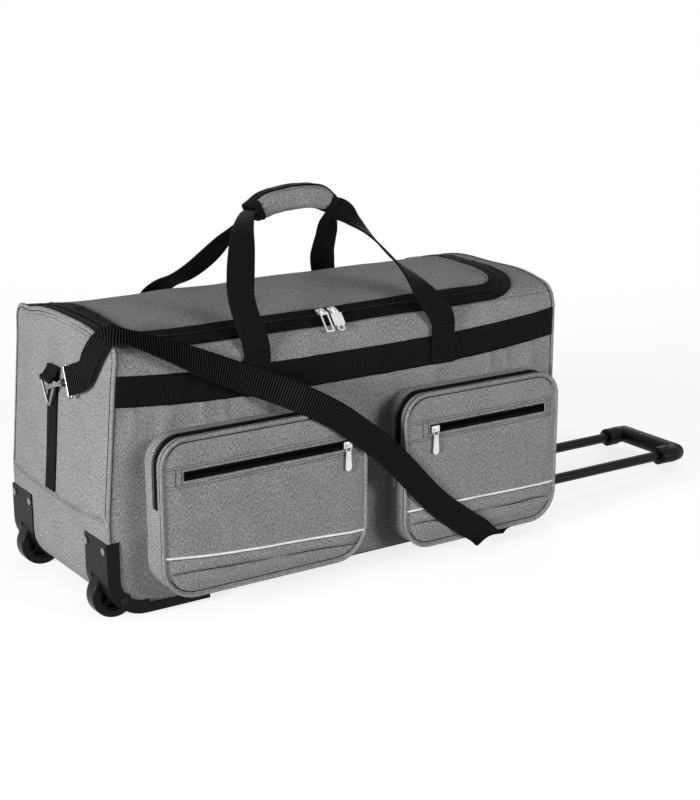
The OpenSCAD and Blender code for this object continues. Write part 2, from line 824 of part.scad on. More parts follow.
module hook_gate() difference() {
    union() {
        translate([gate_pin_x, -hook_half, -2.4]) cylinder(r = 2.2, h = 4.8);
        rod([gate_pin_x, -hook_half, 0],
            [hook_reach - hook_rod - 0.4, -hook_half, 0], gate_r);
    }
    translate([gate_pin_x, -hook_half, -5]) cylinder(r = 0.95, h = 10);
}

// Swivel stem and the flat bail that the strap is sewn to, fixed in the hook's collar
module swivel_eye() {
    bail_w = strap_w + 4;
    translate([-9, 0, 0]) rotate([0, 90, 0]) cylinder(r = stem_r, h = 14.5);
    wire_loop([[-8, 0, -bail_w / 2], [-8, 0, bail_w / 2],
               [-bail_x, 0, bail_w / 2], [-bail_x, 0, -bail_w / 2]], bail_r);
}

// Left hook: comes down from the front corner and holds the ring's front wire
left_hook_at = [ring_left_x, -37.5, 296.5];
left_hook_dir = -20;
left_dir = [0, cos(left_hook_dir), sin(left_hook_dir)];
// Right hook: hangs straight below the ring's point
right_hook_at = [ring_right_x, ring_y,
                 ring_z - 34 - hook_reach - (hook_half - hook_rod) + wire_r + 2.2];

// Hook frames: +X along the hook, its loop's normal across the bag's end
module at_left_hook() translate(left_hook_at) rotate([left_hook_dir, 0, 0]) rotate([0, 0, 90])
    children();
module at_right_hook() translate(right_hook_at) rotate([90, 0, 0]) rotate([0, 0, 90])
    children();

module left_hook() color(nickel) in_row() at_left_hook() hook_frame();
module left_hook_gate() color(nickel) in_row() at_left_hook() hook_gate();
module right_hook() color(nickel) in_row() at_right_hook() hook_frame();
module right_hook_gate() color(nickel) in_row() at_right_hook() hook_gate();
module strap_swivels() color(nickel) in_row() {
    at_left_hook() swivel_eye();
    at_right_hook() swivel_eye();
}

// The strap turns round each hook's bail and is sewn to itself behind it. Its path there,
// from the end of the sewn tail round to the strap: [along the hook from the bail, across]
turn_r = bail_r + 0.15 + webbing_t / 2;
layer = webbing_t / 2 + 0.15;
tail_l = 24;
bail_turn = concat(
    [[-tail_l, -layer], [-tail_l * 0.7, -layer], [-tail_l * 0.45, -layer - 0.1],
     [-tail_l * 0.27, -turn_r * 0.7], [-tail_l * 0.125, -turn_r * 0.93]],
    [for (a = [-90 : 45 : 90]) turn_r * [cos(a), sin(a)]],
    [[-tail_l * 0.125, turn_r * 0.93], [-tail_l * 0.27, turn_r * 0.7],
     [-tail_l * 0.45, layer + 0.1], [-tail_l * 0.7, layer], [-tail_l, layer]]
);
strap = [strap_w, webbing_t];

function left_turn() = [
    for (p = bail_turn) [left_hook_at + (p[0] - bail_x) * left_dir + [-p[1], 0, 0],
                         [0, left_dir[2], -left_dir[1]], strap]
];
function right_turn() = [
    for (i = [len(bail_turn) - 1 : -1 : 0]) let (p = bail_turn[i])
        [right_hook_at + [p[1], 0, p[0] - bail_x], [0, 1, 0], strap]
];

// Route of the shoulder strap: [centre, from its upper to its lower edge, size]
adjuster_at = [ring_right_x, -60, 100];
adjuster_angle = -41.7;
over_pocket_y = pocket_face_y - 6;
strap_route = concat(left_turn(), [
    [[-half_l + 6, -84, 324], [0, -0.55, -0.83], strap],
    [[-half_l + 10, -102, 350], [-0.05, -0.7, -0.71], strap],
    [[-half_l + 13, -half_d + 23, 367], [0.15, -0.8, -0.58], strap],
    [[-half_l + 26, -half_d + 3, 371], [0.1, -0.8, -0.6], strap],
    [[-half_l + 50, -half_d - 7, 362], [-0.25, -0.55, -0.8], strap],
    [[-230, -half_d - 12, 327], [-0.36, -0.4, -0.85], strap],
    [[-161, -half_d - 13, 296], [-0.4, -0.2, -0.9], strap],
    [[-122, over_pocket_y + 26, 281], [-0.45, -0.1, -0.89], strap],
    [[-92, over_pocket_y + 5, 266], [-0.5, 0, -0.86], strap],
    [[-66, over_pocket_y, 251], [-0.53, 0, -0.85], strap],
    [[-40, over_pocket_y, 234], [-0.55, 0, -0.83], strap],
    [[0, over_pocket_y, 203], [-0.6, 0, -0.8], strap],
    [[43, over_pocket_y + 1, 166], [-0.65, 0, -0.76], strap],
    [[109, over_pocket_y + 1, 96], [-0.72, 0, -0.69], strap],
    [[155, over_pocket_y + 1, 58], [-0.68, 0, -0.73], strap],
    [[188, over_pocket_y, 35], [-0.6, 0, -0.8], strap],
    [[206, over_pocket_y + 3.5, 20], [-0.55, 0.35, -0.7], strap],
    [[222, over_pocket_y + 14, 17], [-0.6, 0.75, -0.2], strap],
    [[244, -half_d - 15, 13], [-0.6, 0.8, 0], strap],
    [[266, -half_d + 5, 7], [-0.6, 0.8, 0], strap],
    [[half_l - 48, -half_d + 25, 6], [-0.3, 0.95, 0], strap],
    [[half_l - 6, -half_d + 29, 6], [0, 1, 0], strap],
    [[half_l + 9, -half_d + 31, 16], [0, 1, 0], strap],
    [[ring_right_x, -half_d + 39, 40], [0, 1, 0.1], strap],
    [adjuster_at, [0, 0.747, -0.665], strap],
    [[ring_right_x, -22, 134], [0, 0.75, -0.6], strap],
    [[ring_right_x, 4, 158], [0, 0.9, -0.3], strap],
], right_turn());

module shoulder_strap() color(webbing) in_row() ribbon(strap_route, 3);

// Three-bar slide that the strap runs through
module strap_adjuster() color(plastic) in_row() translate(adjuster_at)
    rotate([adjuster_angle, 0, 0]) difference() {
        size = [7, strap_w + 10, 28];
        window = 8;
        cube(size, center = true);
        cube([webbing_t + 1.1, strap_w + 2, 2 * size[2]], center = true);
        for (side = [-1, 1]) translate([0, 0, side * (window / 2 + 2.5)])
            cube([2 * size[0], strap_w - 2, window], center = true);
    }

// ---------------------------------------------------------- zip sliders

slider_h = 3.2;
pull_t = 1.6;
pivot_h = slider_h + 0.8;   // height of a pull's pivot above the chain

// Slider body over a chain along X, its top towards +Z
module slider_body() {
    l = 13;
    w = 9;
    slab([-l / 2, -w / 2, 0.2], [l / 2, w / 2, slider_h]);
    // Arch that the pull's bar passes under
    for (y = [-1, 1]) slab([-2.6, y * 1.6 - 0.7, slider_h], [2.6, y * 1.6 + 0.7, pivot_h + 0.8]);
    slab([-2.6, -2.3, pivot_h + 0.8], [2.6, 2.3, pivot_h + 1.6]);
}

// Bar under the arch and the two arms beside it, reaching l along -Y
module pull_loop(l) {
    rod([-4.2, 0, 0], [4.2, 0, 0], 0.6);
    for (x = [-1, 1]) slab([x * 3.6 - 0.6, -l - 0.5, -0.6], [x * 3.6 + 0.6, 0.6, 0.6]);
}

// Teardrop pull in the XY plane, hanging along -Y from its pivot at the origin
pull_l = 36;
pull_r = 5;             // its round end
pull_neck = 3.4;        // half its width below the arms
arm_l = 8;

module paddle() {
    pull_loop(arm_l);
    translate([0, 0, -pull_t / 2]) linear_extrude(pull_t) {
        translate([0, -pull_l + pull_r]) circle(pull_r);
        polygon([[-pull_neck, -arm_l], [-pull_r, -pull_l + pull_r], [pull_r, -pull_l + pull_r],
                 [pull_neck, -arm_l]]);
    }
}

slider_in = 8;          // from a window's end to its slider's middle

// Face frames: local +Z points out of the face
module on_front_face(x, z) translate([x, pocket_face_y, z]) rotate([90, 0, 0]) children();

module left_pocket_slider() color(nickel) in_row()
    on_front_face(left_window[1] - slider_in, left_window[2]) slider_body();
module left_pocket_pull() color(nickel) in_row()
    on_front_face(left_window[1] - slider_in, left_window[2]) translate([0, 0, pivot_h]) paddle();
module right_pocket_slider() color(nickel) in_row()
    on_front_face(right_window[0] + slider_in, right_window[2]) slider_body();
module right_pocket_pull() color(nickel) in_row()
    on_front_face(right_window[0] + slider_in, right_window[2]) translate([0, 0, pivot_h]) paddle();

module left_gusset_slider() color(nickel) in_row() side_slider(left_pocket_box[1], 175, 1);
module right_gusset_slider() color(nickel) in_row() side_slider(right_pocket_box[0], 150, -1);

// Slider with its pull on a pocket's side wall; out is the way the wall faces
module side_slider(x, z, out) translate([x, (gusset_y0 + gusset_y1) / 2, z])
    rotate([0, 0, out > 0 ? 0 : 180]) {
        slab([0.3, -4.5, -6.5], [slider_h, 4.5, 6.5]);
        slab([slider_h, -2.8, -3], [slider_h + 1.2, 2.8, 3]);
        slab([slider_h + 1.2, -3.5, -34], [slider_h + 2.8, 3.5, 2]);
    }

// Main zip: the two sliders meet near the middle of the front run
main_slider_x = [-26, -8];
main_tilt = asin((-zip_y - crown_a) / shoulder_r);
bend_y = 6.5;           // where a main pull bends down over the bag's edge
bend_angle = 31;

// Frame on the front run of the main zip: local +Z out of the surface, +Y up the lid
module on_main_zip(x) translate([x, -crown_a, shoulder_z]) rotate([main_tilt, 0, 0])
    translate([0, 0, shoulder_r + chain_t]) children();

// Pull that goes level over the slider and then bends down by bend_angle
module main_pull(x) on_main_zip(x) translate([0, 0, pivot_h]) {
    pull_loop(bend_y);
    translate([0, -bend_y, 0]) rotate([bend_angle, 0, 0]) translate([0, 0, -pull_t / 2])
        linear_extrude(pull_t) children();
}

module main_slider_left() color(nickel) in_row() on_main_zip(main_slider_x[0]) slider_body();
module main_slider_right() color(nickel) in_row() on_main_zip(main_slider_x[1]) slider_body();

module main_pull_left() color(nickel) in_row() main_pull(main_slider_x[0]) difference() {
    translate([-6.5, -29]) square([13, 29.5]);
    translate([-4, -26.5]) square([8, 23]);
}

// Lockable pull: a square plate with a ring below it for a padlock
module main_pull_right() color(nickel) in_row() main_pull(main_slider_x[1]) difference() {
    union() {
        translate([-8.5, -21]) square([17, 18]);
        translate([-5, -4]) square([10, 4.5]);
        translate([0, -24]) circle(6);
    }
    translate([0, -25]) circle(3);
}

front_panel();
back_panel();
left_end_panel();
right_end_panel();
bottom_panel();
base_board();
top_surround();
surround_zip_tape();
lid_panel();
lid_zip_tape();
end_reinforcement();
end_piping();
body_bands();
end_webbing();
left_pocket();
right_pocket();
pocket_front_zips();
pocket_gusset_zips();
reflective_piping();
handle_anchors();
front_handle();
back_handle();
grip_wrap();
front_wheel_housing();
back_wheel_housing();
front_tyre();
front_wheel_hub();
back_tyre();
back_wheel_hub();
axles();
housing_rivets();
rear_feet();
outer_tubes();
tube_guide();
chassis_crossbar();
inner_tubes();
trolley_grip();
grip_collars();
release_button();
release_rods();
button_spring();
left_ring();
right_ring();
left_hook();
left_hook_gate();
right_hook();
right_hook_gate();
strap_swivels();
shoulder_strap();
strap_adjuster();
main_slider_left();
main_pull_left();
main_slider_right();
main_pull_right();
left_pocket_slider();
left_pocket_pull();
right_pocket_slider();
right_pocket_pull();
left_gusset_slider();
right_gusset_slider();
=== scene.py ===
# Looks of the rolling duffel bag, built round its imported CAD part. Shapes are worked out
# in millimetres about the middle of the bag's floor and placed in the row frame in metres.
import json
import math

import bpy
import numpy as np
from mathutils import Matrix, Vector, noise


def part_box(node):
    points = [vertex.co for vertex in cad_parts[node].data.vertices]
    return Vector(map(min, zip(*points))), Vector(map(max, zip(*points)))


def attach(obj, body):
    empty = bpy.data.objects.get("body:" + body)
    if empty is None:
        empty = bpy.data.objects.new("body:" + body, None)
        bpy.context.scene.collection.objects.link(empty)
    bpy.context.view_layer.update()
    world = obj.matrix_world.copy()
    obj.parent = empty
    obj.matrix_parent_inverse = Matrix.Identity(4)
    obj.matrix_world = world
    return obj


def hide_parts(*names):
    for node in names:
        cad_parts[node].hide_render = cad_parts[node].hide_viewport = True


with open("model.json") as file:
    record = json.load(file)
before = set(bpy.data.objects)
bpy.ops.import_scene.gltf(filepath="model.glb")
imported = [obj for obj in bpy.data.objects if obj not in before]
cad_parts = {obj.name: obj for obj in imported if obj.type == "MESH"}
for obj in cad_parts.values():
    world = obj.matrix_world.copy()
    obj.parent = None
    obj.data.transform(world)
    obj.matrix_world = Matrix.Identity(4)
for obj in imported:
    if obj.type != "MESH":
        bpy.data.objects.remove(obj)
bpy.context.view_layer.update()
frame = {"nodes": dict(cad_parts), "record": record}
MM = 0.001
PI = math.pi

# -------- sizes from the CAD

LEFT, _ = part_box("left_end_panel")
_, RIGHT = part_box("right_end_panel")
FRONT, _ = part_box("front_panel")
_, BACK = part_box("back_panel")
MID = Vector(((LEFT.x + RIGHT.x) / 2, (FRONT.y + BACK.y) / 2, 0))


def mm_box(node):
    """Corners of a CAD node in mm about the middle of the bag's floor."""
    lo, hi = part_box(node)
    return (lo - MID) / MM, (hi - MID) / MM


HALF_L = (RIGHT.x - LEFT.x) / 2 / MM
HALF_D = (BACK.y - FRONT.y) / 2 / MM
UNDER_Z = mm_box("bottom_panel")[0].z
CROWN_Z = mm_box("lid_panel")[1].z
SEAM_Z = mm_box("end_reinforcement")[1].z
BAND_Z0, BAND_Z1 = mm_box("body_bands")[0].z, mm_box("body_bands")[1].z
SHOULDER_Z, SHOULDER_R, EDGE_R = 325, 38, 18
CORNER_R, REAR_R = 50, 25
END_LEAN = 22
TAPE_W = 16
CLOTH_T = 2.2
END_SEED = {-1: 2.0, 1: 6.0}
ZIP_Y = mm_box("surround_zip_tape")[0].y + TAPE_W
ZIP_X0 = mm_box("surround_zip_tape")[0].x + TAPE_W
ZIP_X1 = mm_box("surround_zip_tape")[1].x - TAPE_W
ZIP_R = 47
HINGE_Y = mm_box("lid_panel")[1].y

# -------- mesh tools


def place(p):
    """A point in mm about the middle of the floor, in the row frame in metres."""
    return MID + Vector(p) * MM


def add(name, shape, mat, body="bag", replaces=()):
    """A piece from (points in mm, faces, uvs) that rides on a body, with the given material."""
    verts, faces, uvs = shape
    mesh = bpy.data.meshes.new(name)
    mesh.from_pydata([place(v) for v in verts], [], faces)
    mesh.update()
    layer = mesh.uv_layers.new(name="UVMap")
    for loop in mesh.loops:
        layer.data[loop.index].uv = uvs[loop.vertex_index]
    mesh.polygons.foreach_set("use_smooth", [True] * len(mesh.polygons))
    mesh.materials.append(mat)
    obj = bpy.data.objects.new(name, mesh)
    bpy.context.scene.collection.objects.link(obj)
    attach(obj, body)
    if replaces:
        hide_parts(*replaces)
    return obj


def span(a, b, step):
    """Evenly spaced numbers from a to b, about step apart."""
    n = max(1, round(abs(b - a) / step))
    return [a + (b - a) * i / n for i in range(n + 1)]


def lengths(points):
    """Length along a row of points up to each of them."""
    return np.concatenate([[0], np.cumsum(np.linalg.norm(np.diff(points, axis=0), axis=1))])


def steps(n):
    """Numbers from 0 to 1 in n equal steps."""
    return [i / n for i in range(n + 1)]


def grid(fn, us, vs, thick, skip=None):
    """Sheet through fn(u, v), outward where u cross v points, with its inner side thick below."""
    nu, nv = len(us), len(vs)
    p = np.array([[fn(u, v) for v in vs] for u in us], float)
    n = np.cross(np.gradient(p, axis=0), np.gradient(p, axis=1))
    n /= np.maximum(np.linalg.norm(n, axis=2, keepdims=True), 1e-9)
    lu, lv = lengths(p[:, nv // 2]), lengths(p[nu // 2])
    uvs = [(lu[i] * MM, lv[j] * MM) for i in range(nu) for j in range(nv)] * 2
    cells = [(i, j) for i in range(nu - 1) for j in range(nv - 1)
             if not (skip and skip((us[i] + us[i + 1]) / 2, (vs[j] + vs[j + 1]) / 2))]
    faces = [(i * nv + j, (i + 1) * nv + j, (i + 1) * nv + j + 1, i * nv + j + 1)
             for i, j in cells]
    verts = [tuple(q) for q in p.reshape(-1, 3)]
    base = len(verts)
    verts += [tuple(q) for q in (p - n * thick).reshape(-1, 3)]
    edges = {(f[k], f[(k + 1) % 4]): True for f in faces for k in range(4)}
    rims = [e for e in edges if (e[1], e[0]) not in edges]
    faces += [tuple(base + k for k in reversed(f)) for f in faces]
    faces += [(b, a, base + a, base + b) for a, b in rims]
    return verts, faces, uvs


def join(parts):
    """Puts several (verts, faces, uvs) together."""
    verts, faces, uvs = [], [], []
    for v, f, t in parts:
        base = len(verts)
        verts += v
        uvs += t
        faces += [tuple(base + k for k in face) for face in f]
    return verts, faces, uvs


def spline(points, steps=8):
    """Catmull-Rom curve through points of any dimension."""
    pts = [np.array(p, float) for p in points]
    n = len(pts)
    out = []
    for i in range(n - 1):
        a, b, c, d = (pts[min(max(i + k, 0), n - 1)] for k in (-1, 0, 1, 2))
        for s in range(steps):
            t = s / steps
            out.append(0.5 * (2 * b + (c - a) * t + (2 * a - 5 * b + 4 * c - d) * t * t
                              + (3 * b - a - 3 * c + d) * t ** 3))
    return out + [pts[-1]]


def unit(v):
    """v at a length of 1."""
    return v / max(np.linalg.norm(v), 1e-9)


def sweep(path, section, ups=None, closed=False):
    """Carries a section, (across, up) in mm, along a path. Section and ups: one, or a list of one
    per station; without ups the section keeps its direction as the path turns."""
    path = [np.array(p, float) for p in path]
    n = len(path)
    per = isinstance(section[0], list)
    m = len(section[0] if per else section)
    verts, uvs, run = [], [], 0.0
    up = np.array((0, 0, 1), float)
    for i, p in enumerate(path):
        if closed:
            along = unit(path[(i + 1) % n] - path[i - 1])
        else:
            along = unit(path[min(i + 1, n - 1)] - path[max(i - 1, 0)])
        if ups is not None:
            up = np.array(ups if isinstance(ups, tuple) else ups[i], float)
        side = unit(np.cross(along, up))
        up = unit(np.cross(side, along))
        if i:
            run += np.linalg.norm(p - path[i - 1])
        sec = section[i] if per else section
        girth = 0.0
        for k, (x, z) in enumerate(sec):
            if k:
                girth += math.hypot(x - sec[k - 1][0], z - sec[k - 1][1])
            verts.append(tuple(p + side * x + up * z))
            uvs.append((girth * MM, run * MM))
    faces = [(i * m + k, i * m + (k + 1) % m, ((i + 1) % n) * m + (k + 1) % m, ((i + 1) % n) * m + k)
             for i in range(n if closed else n - 1) for k in range(m)]
    if not closed:
        faces += [tuple(reversed(range(m))), tuple((n - 1) * m + k for k in range(m))]
    return verts, faces, uvs


def circle(r, n=10, flat=1.0):
    """Round section with n corners, its height times flat."""
    return [(r * math.cos(2 * PI * k / n), flat * r * math.sin(2 * PI * k / n))
            for k in range(n)]


def strip(w, t, bow=0.0, n=8):
    """Section of a webbing strip: w wide and t thick, with rounded edges and bowed by bow."""
    xs = [(-0.5 + k / n) * w for k in range(n + 1)]
    inner = [x * (1 - 0.9 * t / w) if abs(x) > 0.45 * w else x for x in xs]

    def lift(x):
        return bow * (1 - (2 * x / w) ** 2)
    top = [(x, t / 2 + lift(x)) for x in inner]
    low = [(x, -t / 2 + lift(x)) for x in reversed(inner)]
    return [(-w / 2, lift(w / 2))] + top + [(w / 2, lift(w / 2))] + low


def wobble(p, scale, seed):
    """Smooth noise from about -1 to 1 with features about scale mm across."""
    return noise.noise(Vector((p[0] / scale + seed, p[1] / scale - seed, p[2] / scale + 2 * seed)))


def fold(p, scale, seed):
    """Ridge-like noise from 0 to 1, for creases in cloth."""
    away = abs(wobble(p, scale, seed))
    return (1 - away * 1.6) ** 5 if away < 0.62 else 0.0


def hill(x, width):
    """1 where x is 0, falling away to both sides over about width."""
    return math.exp(-(x / width) ** 2)


def bump(t):
    """Smooth hill over 0..1."""
    return 0.5 - 0.5 * math.cos(2 * PI * min(max(t, 0), 1))


def ease(a, b, x):
    """0 up to a, 1 from b on, and smooth between."""
    t = min(max((x - a) / (b - a), 0), 1)
    return t * t * (3 - 2 * t)


def stitch_line(path, normal, pitch=3.4, length=2.3, r=0.32, lift=0.15):
    """Separate thread stitches along a path on a surface that faces normal."""
    path = [np.array(p, float) for p in path]
    total = lengths(path)
    n = unit(np.array(normal, float))
    parts = []
    for k in range(int(total[-1] / pitch)):
        s = (k + 0.5) * pitch
        i = min(int(np.searchsorted(total, s)) - 1, len(path) - 2)
        t = (s - total[i]) / max(total[i + 1] - total[i], 1e-9)
        c = path[i] + (path[i + 1] - path[i]) * t
        along = unit(path[i + 1] - path[i])
        side = unit(np.cross(along, n))
        c = c + n * lift
        ends = [c - along * length / 2 - n * r, c + along * length / 2 - n * r]
        ring = [side * r, n * r * 1.2, -side * r, -n * r]
        v = [tuple(ends[0])] + [tuple(c - along * length * 0.3 + q) for q in ring]
        v += [tuple(c + along * length * 0.3 + q) for q in ring] + [tuple(ends[1])]
        f = [(0, 1 + (j + 1) % 4, 1 + j) for j in range(4)]
        f += [(1 + j, 1 + (j + 1) % 4, 5 + (j + 1) % 4, 5 + j) for j in range(4)]
        f += [(9, 5 + j, 5 + (j + 1) % 4) for j in range(4)]
        parts.append((v, f, [(0, 0)] * len(v)))
    return join(parts)


# -------- materials


class Nodes:
    """Short way to build the node tree of a material or world."""

    def __init__(self, owner):
        owner.use_nodes = True
        self.mat = owner
        self.tree = owner.node_tree
        self.shader = self.tree.nodes.get("Principled BSDF")

    def new(self, kind, **values):
        node = self.tree.nodes.new(kind)
        for key, value in values.items():
            if key in node.bl_rna.properties and not node.bl_rna.properties[key].is_readonly:
                setattr(node, key, value)
            else:
                node.inputs[key.replace("_", " ")].default_value = value
        return node

    def link(self, a, b):
        self.tree.links.new(a, b)

    def set(self, **values):
        for key, value in values.items():
            self.shader.inputs[key.replace("_", " ")].default_value = value

    def coords(self, kind, scale=(1000, 1000, 1000)):
        """Texture coordinates, in mm unless scaled otherwise."""
        source = self.new("ShaderNodeTexCoord")
        mapping = self.new("ShaderNodeMapping", Scale=scale)
        self.link(source.outputs[kind], mapping.inputs["Vector"])
        return mapping.outputs["Vector"]

    def noise(self, vector, scale, detail):
        node = self.new("ShaderNodeTexNoise", Scale=scale, Detail=detail)
        self.link(vector, node.inputs["Vector"])
        return node.outputs["Fac"]

    def wave(self, vector, scale, direction, distortion):
        node = self.new("ShaderNodeTexWave", wave_type="BANDS", bands_direction=direction,
                        Scale=scale, Distortion=distortion)
        self.link(vector, node.inputs["Vector"])
        return node.outputs["Fac"]

    def math(self, op, a, b):
        node = self.new("ShaderNodeMath", operation=op)
        for socket, value in zip(node.inputs, (a, b)):
            if isinstance(value, (int, float)):
                socket.default_value = value
            else:
                self.link(value, socket)
        return node.outputs[0]

    def ramp(self, fac, stops):
        node = self.new("ShaderNodeValToRGB")
        elements = node.color_ramp.elements
        while len(elements) < len(stops):
            elements.new(0.5)
        for element, (at, c) in zip(elements, stops):
            element.position = at
            element.color = (*c, 1) if isinstance(c, tuple) else (c, c, c, 1)
        self.link(fac, node.inputs["Fac"])
        return node.outputs["Color"]

    def bump(self, height, strength, distance):
        node = self.new("ShaderNodeBump", Strength=strength, Distance=distance * MM)
        self.link(height, node.inputs["Height"])
        self.link(node.outputs["Normal"], self.shader.inputs["Normal"])


def heather(name, tone, kind="UV"):
    """Melange cloth: light and dark yarns both ways, a plain weave and a soft surface."""
    m = Nodes(bpy.data.materials.new(name))
    warp = m.noise(m.coords(kind, (900, 240, 900)), 1.0, 2.0)
    weft = m.noise(m.coords(kind, (360, 1050, 1050)), 1.0, 1.5)
    clump = m.noise(m.coords(kind, (1000, 800, 1000)), 0.5, 2.0)
    at = m.coords(kind)
    broad = m.noise(at, 0.02, 2.0)
    yarn = m.math("ADD", m.math("MULTIPLY", warp, 0.42), m.math("MULTIPLY", weft, 0.3))
    yarn = m.math("ADD", yarn, m.math("MULTIPLY", clump, 0.28))
    yarn = m.math("ADD", yarn, m.math("MULTIPLY", m.math("SUBTRACT", broad, 0.5), 0.06))
    color = m.ramp(yarn, [(0.36, tone * 0.28), (0.46, tone * 0.74), (0.54, tone * 1.16),
                          (0.65, tone * 1.9)])
    m.link(color, m.shader.inputs["Base Color"])
    weave = m.math("MULTIPLY", m.wave(at, 0.3, "X", 0.6), m.wave(at, 0.3, "Y", 0.6))
    m.bump(m.math("ADD", weave, m.math("MULTIPLY", yarn, 1.6)), 0.4, 0.3)
    m.set(Roughness=0.9, Sheen_Weight=0.06, Sheen_Roughness=0.5, Specular_IOR_Level=0.15)
    return m.mat


def webbing_mat(name, rib, light, rough=0.65, ribbed=0.6, shine=0.04):
    """Black woven webbing: ribs across it every rib mm, yarns along it; its colour is darker in the
    ribs' grooves and lighter on their crests, painted shade and highlight, with some grain.
    """
    m = Nodes(bpy.data.materials.new(name))
    uv = m.coords("UV")
    ribs = m.wave(uv, 0.3142 / rib, "Y", 0.4)
    yarns = m.wave(uv, 0.28, "X", 0.8)
    fine = m.noise(uv, 1.6, 2.0)
    rest = 1.2 - ribbed
    height = m.math("ADD", m.math("MULTIPLY", ribs, ribbed), m.math("MULTIPLY", yarns, rest * 0.4))
    height = m.math("ADD", height, m.math("MULTIPLY", fine, rest * 0.6))
    # The colour follows the relief: painted shade in the grooves and painted highlight on the rib
    # crests, with grain from the fine noise
    color = m.ramp(height, [(0.3, light * 0.05), (0.6, light * 0.6), (1.0, light * 5.0)])
    m.link(color, m.shader.inputs["Base Color"])
    m.bump(height, 0.5, 0.4)
    m.set(Roughness=rough, Specular_IOR_Level=shine)
    return m.mat


def plastic_mat(name, tone, rough, grain=2.2, depth=0.08, metallic=0.0, shine=0.5):
    """Moulded or coated surface with a fine grain and slightly uneven gloss."""
    m = Nodes(bpy.data.materials.new(name))
    at = m.coords("Object")
    fine = m.noise(at, grain, 3.0)
    broad = m.noise(at, 0.05, 3.0)
    color = m.ramp(broad, [(0.3, tuple(0.85 * c for c in tone)), (0.7, tuple(1.12 * c for c in tone))])
    m.link(color, m.shader.inputs["Base Color"])
    gloss = m.math("ADD", rough - 0.06, m.math("MULTIPLY", m.noise(at, 0.09, 4.0), 0.12))
    m.link(gloss, m.shader.inputs["Roughness"])
    m.bump(fine, 0.35, depth)
    m.set(Metallic=metallic, Specular_IOR_Level=shine)
    return m.mat


CLOTH_TONE = 0.27
GREY = heather("heather_grey", CLOTH_TONE)
GREY_SOLID = heather("heather_grey_small", CLOTH_TONE, "Object")
WEBBING = webbing_mat("webbing_black", 2.2, 0.0042)
STRAP = webbing_mat("webbing_strap", 3.6, 0.0065, 0.6, 0.95, 0.0)
BOTTOM = heather("coated_black", 0.010)
TAPE = webbing_mat("zip_tape_black", 1.0, 0.0035, 0.75)
COIL = plastic_mat("zip_coil_black", (0.003, 0.003, 0.003), 0.55, 3.0, 0.03, 0, 0.04)
THREAD_GREY = plastic_mat("thread_grey", (0.035, 0.035, 0.035), 0.8, 5.0, 0.05, 0, 0.1)
THREAD_BLACK = plastic_mat("thread_black", (0.02, 0.02, 0.02), 0.7, 5.0, 0.05, 0, 0.1)
# Near-black colour for the pockets' stitches and for painted shadow lines along piping, rims, seams and
# creases
SEAM_SHADOW = plastic_mat("seam_shadow", (0.012, 0.012, 0.012), 0.9, 5.0, 0.05, 0, 0.0)
REFLECT = plastic_mat("reflective_white", (0.88, 0.88, 0.89), 0.4, 1.5, 0.05)
PLASTIC = plastic_mat("plastic_black", (0.005, 0.005, 0.0054), 0.42, 1.8, 0.06, 0, 0.1)
TYRE = plastic_mat("tyre_black", (0.004, 0.004, 0.0045), 0.3, 1.0, 0.06, 0, 0.14)
TUBE = plastic_mat("tube_satin_black", (0.004, 0.004, 0.0045), 0.3, 3.0, 0.02, 0, 0.14)
BOARD = plastic_mat("board_black", (0.03, 0.03, 0.03), 0.6, 1.5, 0.1)
STEEL = plastic_mat("steel_drawn", (0.26, 0.26, 0.27), 0.4, 0.8, 0.03, 1.0)
NICKEL = plastic_mat("nickel_plated", (0.26, 0.26, 0.26), 0.3, 0.6, 0.05, 1.0)
SILVER = plastic_mat("slider_nickel", (0.66, 0.66, 0.66), 0.3, 0.9, 0.05, 1.0)
DARK_STEEL = plastic_mat("steel_blackened", (0.008, 0.008, 0.008), 0.5, 0.9, 0.04, 0.0, 0.14)

CAD_FINISH = {
    "black_plastic": PLASTIC, "tyre": TYRE, "black_tube": TUBE, "steel": STEEL,
    "nickel": NICKEL, "slider_metal": SILVER, "stiffener": BOARD,
}
for part in frame["record"]["subparts"]:
    finish = CAD_FINISH.get(part["material_slot"])
    if finish:
        data = frame["nodes"][part["node"]].data
        data.materials.clear()
        data.materials.append(DARK_STEEL if part["node"] == "axles" else finish)

# -------- the bag's skin

CROWN_A = HALF_D - SHOULDER_R
CROWN_H = CROWN_Z - SHOULDER_R - SHOULDER_Z
CROWN_C = ((CROWN_Z - SHOULDER_R + SHOULDER_Z) - CROWN_A ** 2 / CROWN_H) / 2
CROWN_R = CROWN_Z - CROWN_C
CROWN_T = math.atan(CROWN_A / (SHOULDER_Z - CROWN_C))


def rise(r, d):
    """Height of a circle of radius r at d from its middle."""
    return math.sqrt(max(r * r - d * d, 0))


def arc(cy, cz, r, a0, a1, n):
    """Points of an arc round (cy, cz) from angle a0 to a1."""
    return [(cy + r * math.cos(a0 + (a1 - a0) * i / n), cz + r * math.sin(a0 + (a1 - a0) * i / n))
            for i in range(n + 1)]


half = arc(-HALF_D + EDGE_R, UNDER_Z + EDGE_R, EDGE_R, 1.5 * PI, PI, 12)
half += arc(-CROWN_A, SHOULDER_Z, SHOULDER_R, PI, PI / 2 + CROWN_T, 24)
half += arc(0, CROWN_C, CROWN_R, PI / 2 + CROWN_T, PI / 2, 40)
OUT = half + [(-y, z) for y, z in reversed(half[:-1])]
OUT = np.array([p for i, p in enumerate(OUT) if i == 0 or math.dist(p, OUT[i - 1]) > 1e-6])
OUT_S = lengths(OUT)
S_END = OUT_S[-1]


def section(s):
    """Point and outward normal, both (y, z), of the bag's section s mm from its front edge."""
    y, z = np.interp(s, OUT_S, OUT[:, 0]), np.interp(s, OUT_S, OUT[:, 1])
    a, b = max(s - 2, 0), min(s + 2, S_END)
    t = np.array([np.interp(b, OUT_S, OUT[:, k]) - np.interp(a, OUT_S, OUT[:, k]) for k in (0, 1)])
    t /= np.linalg.norm(t)
    return (y, z), (-t[1], t[0])


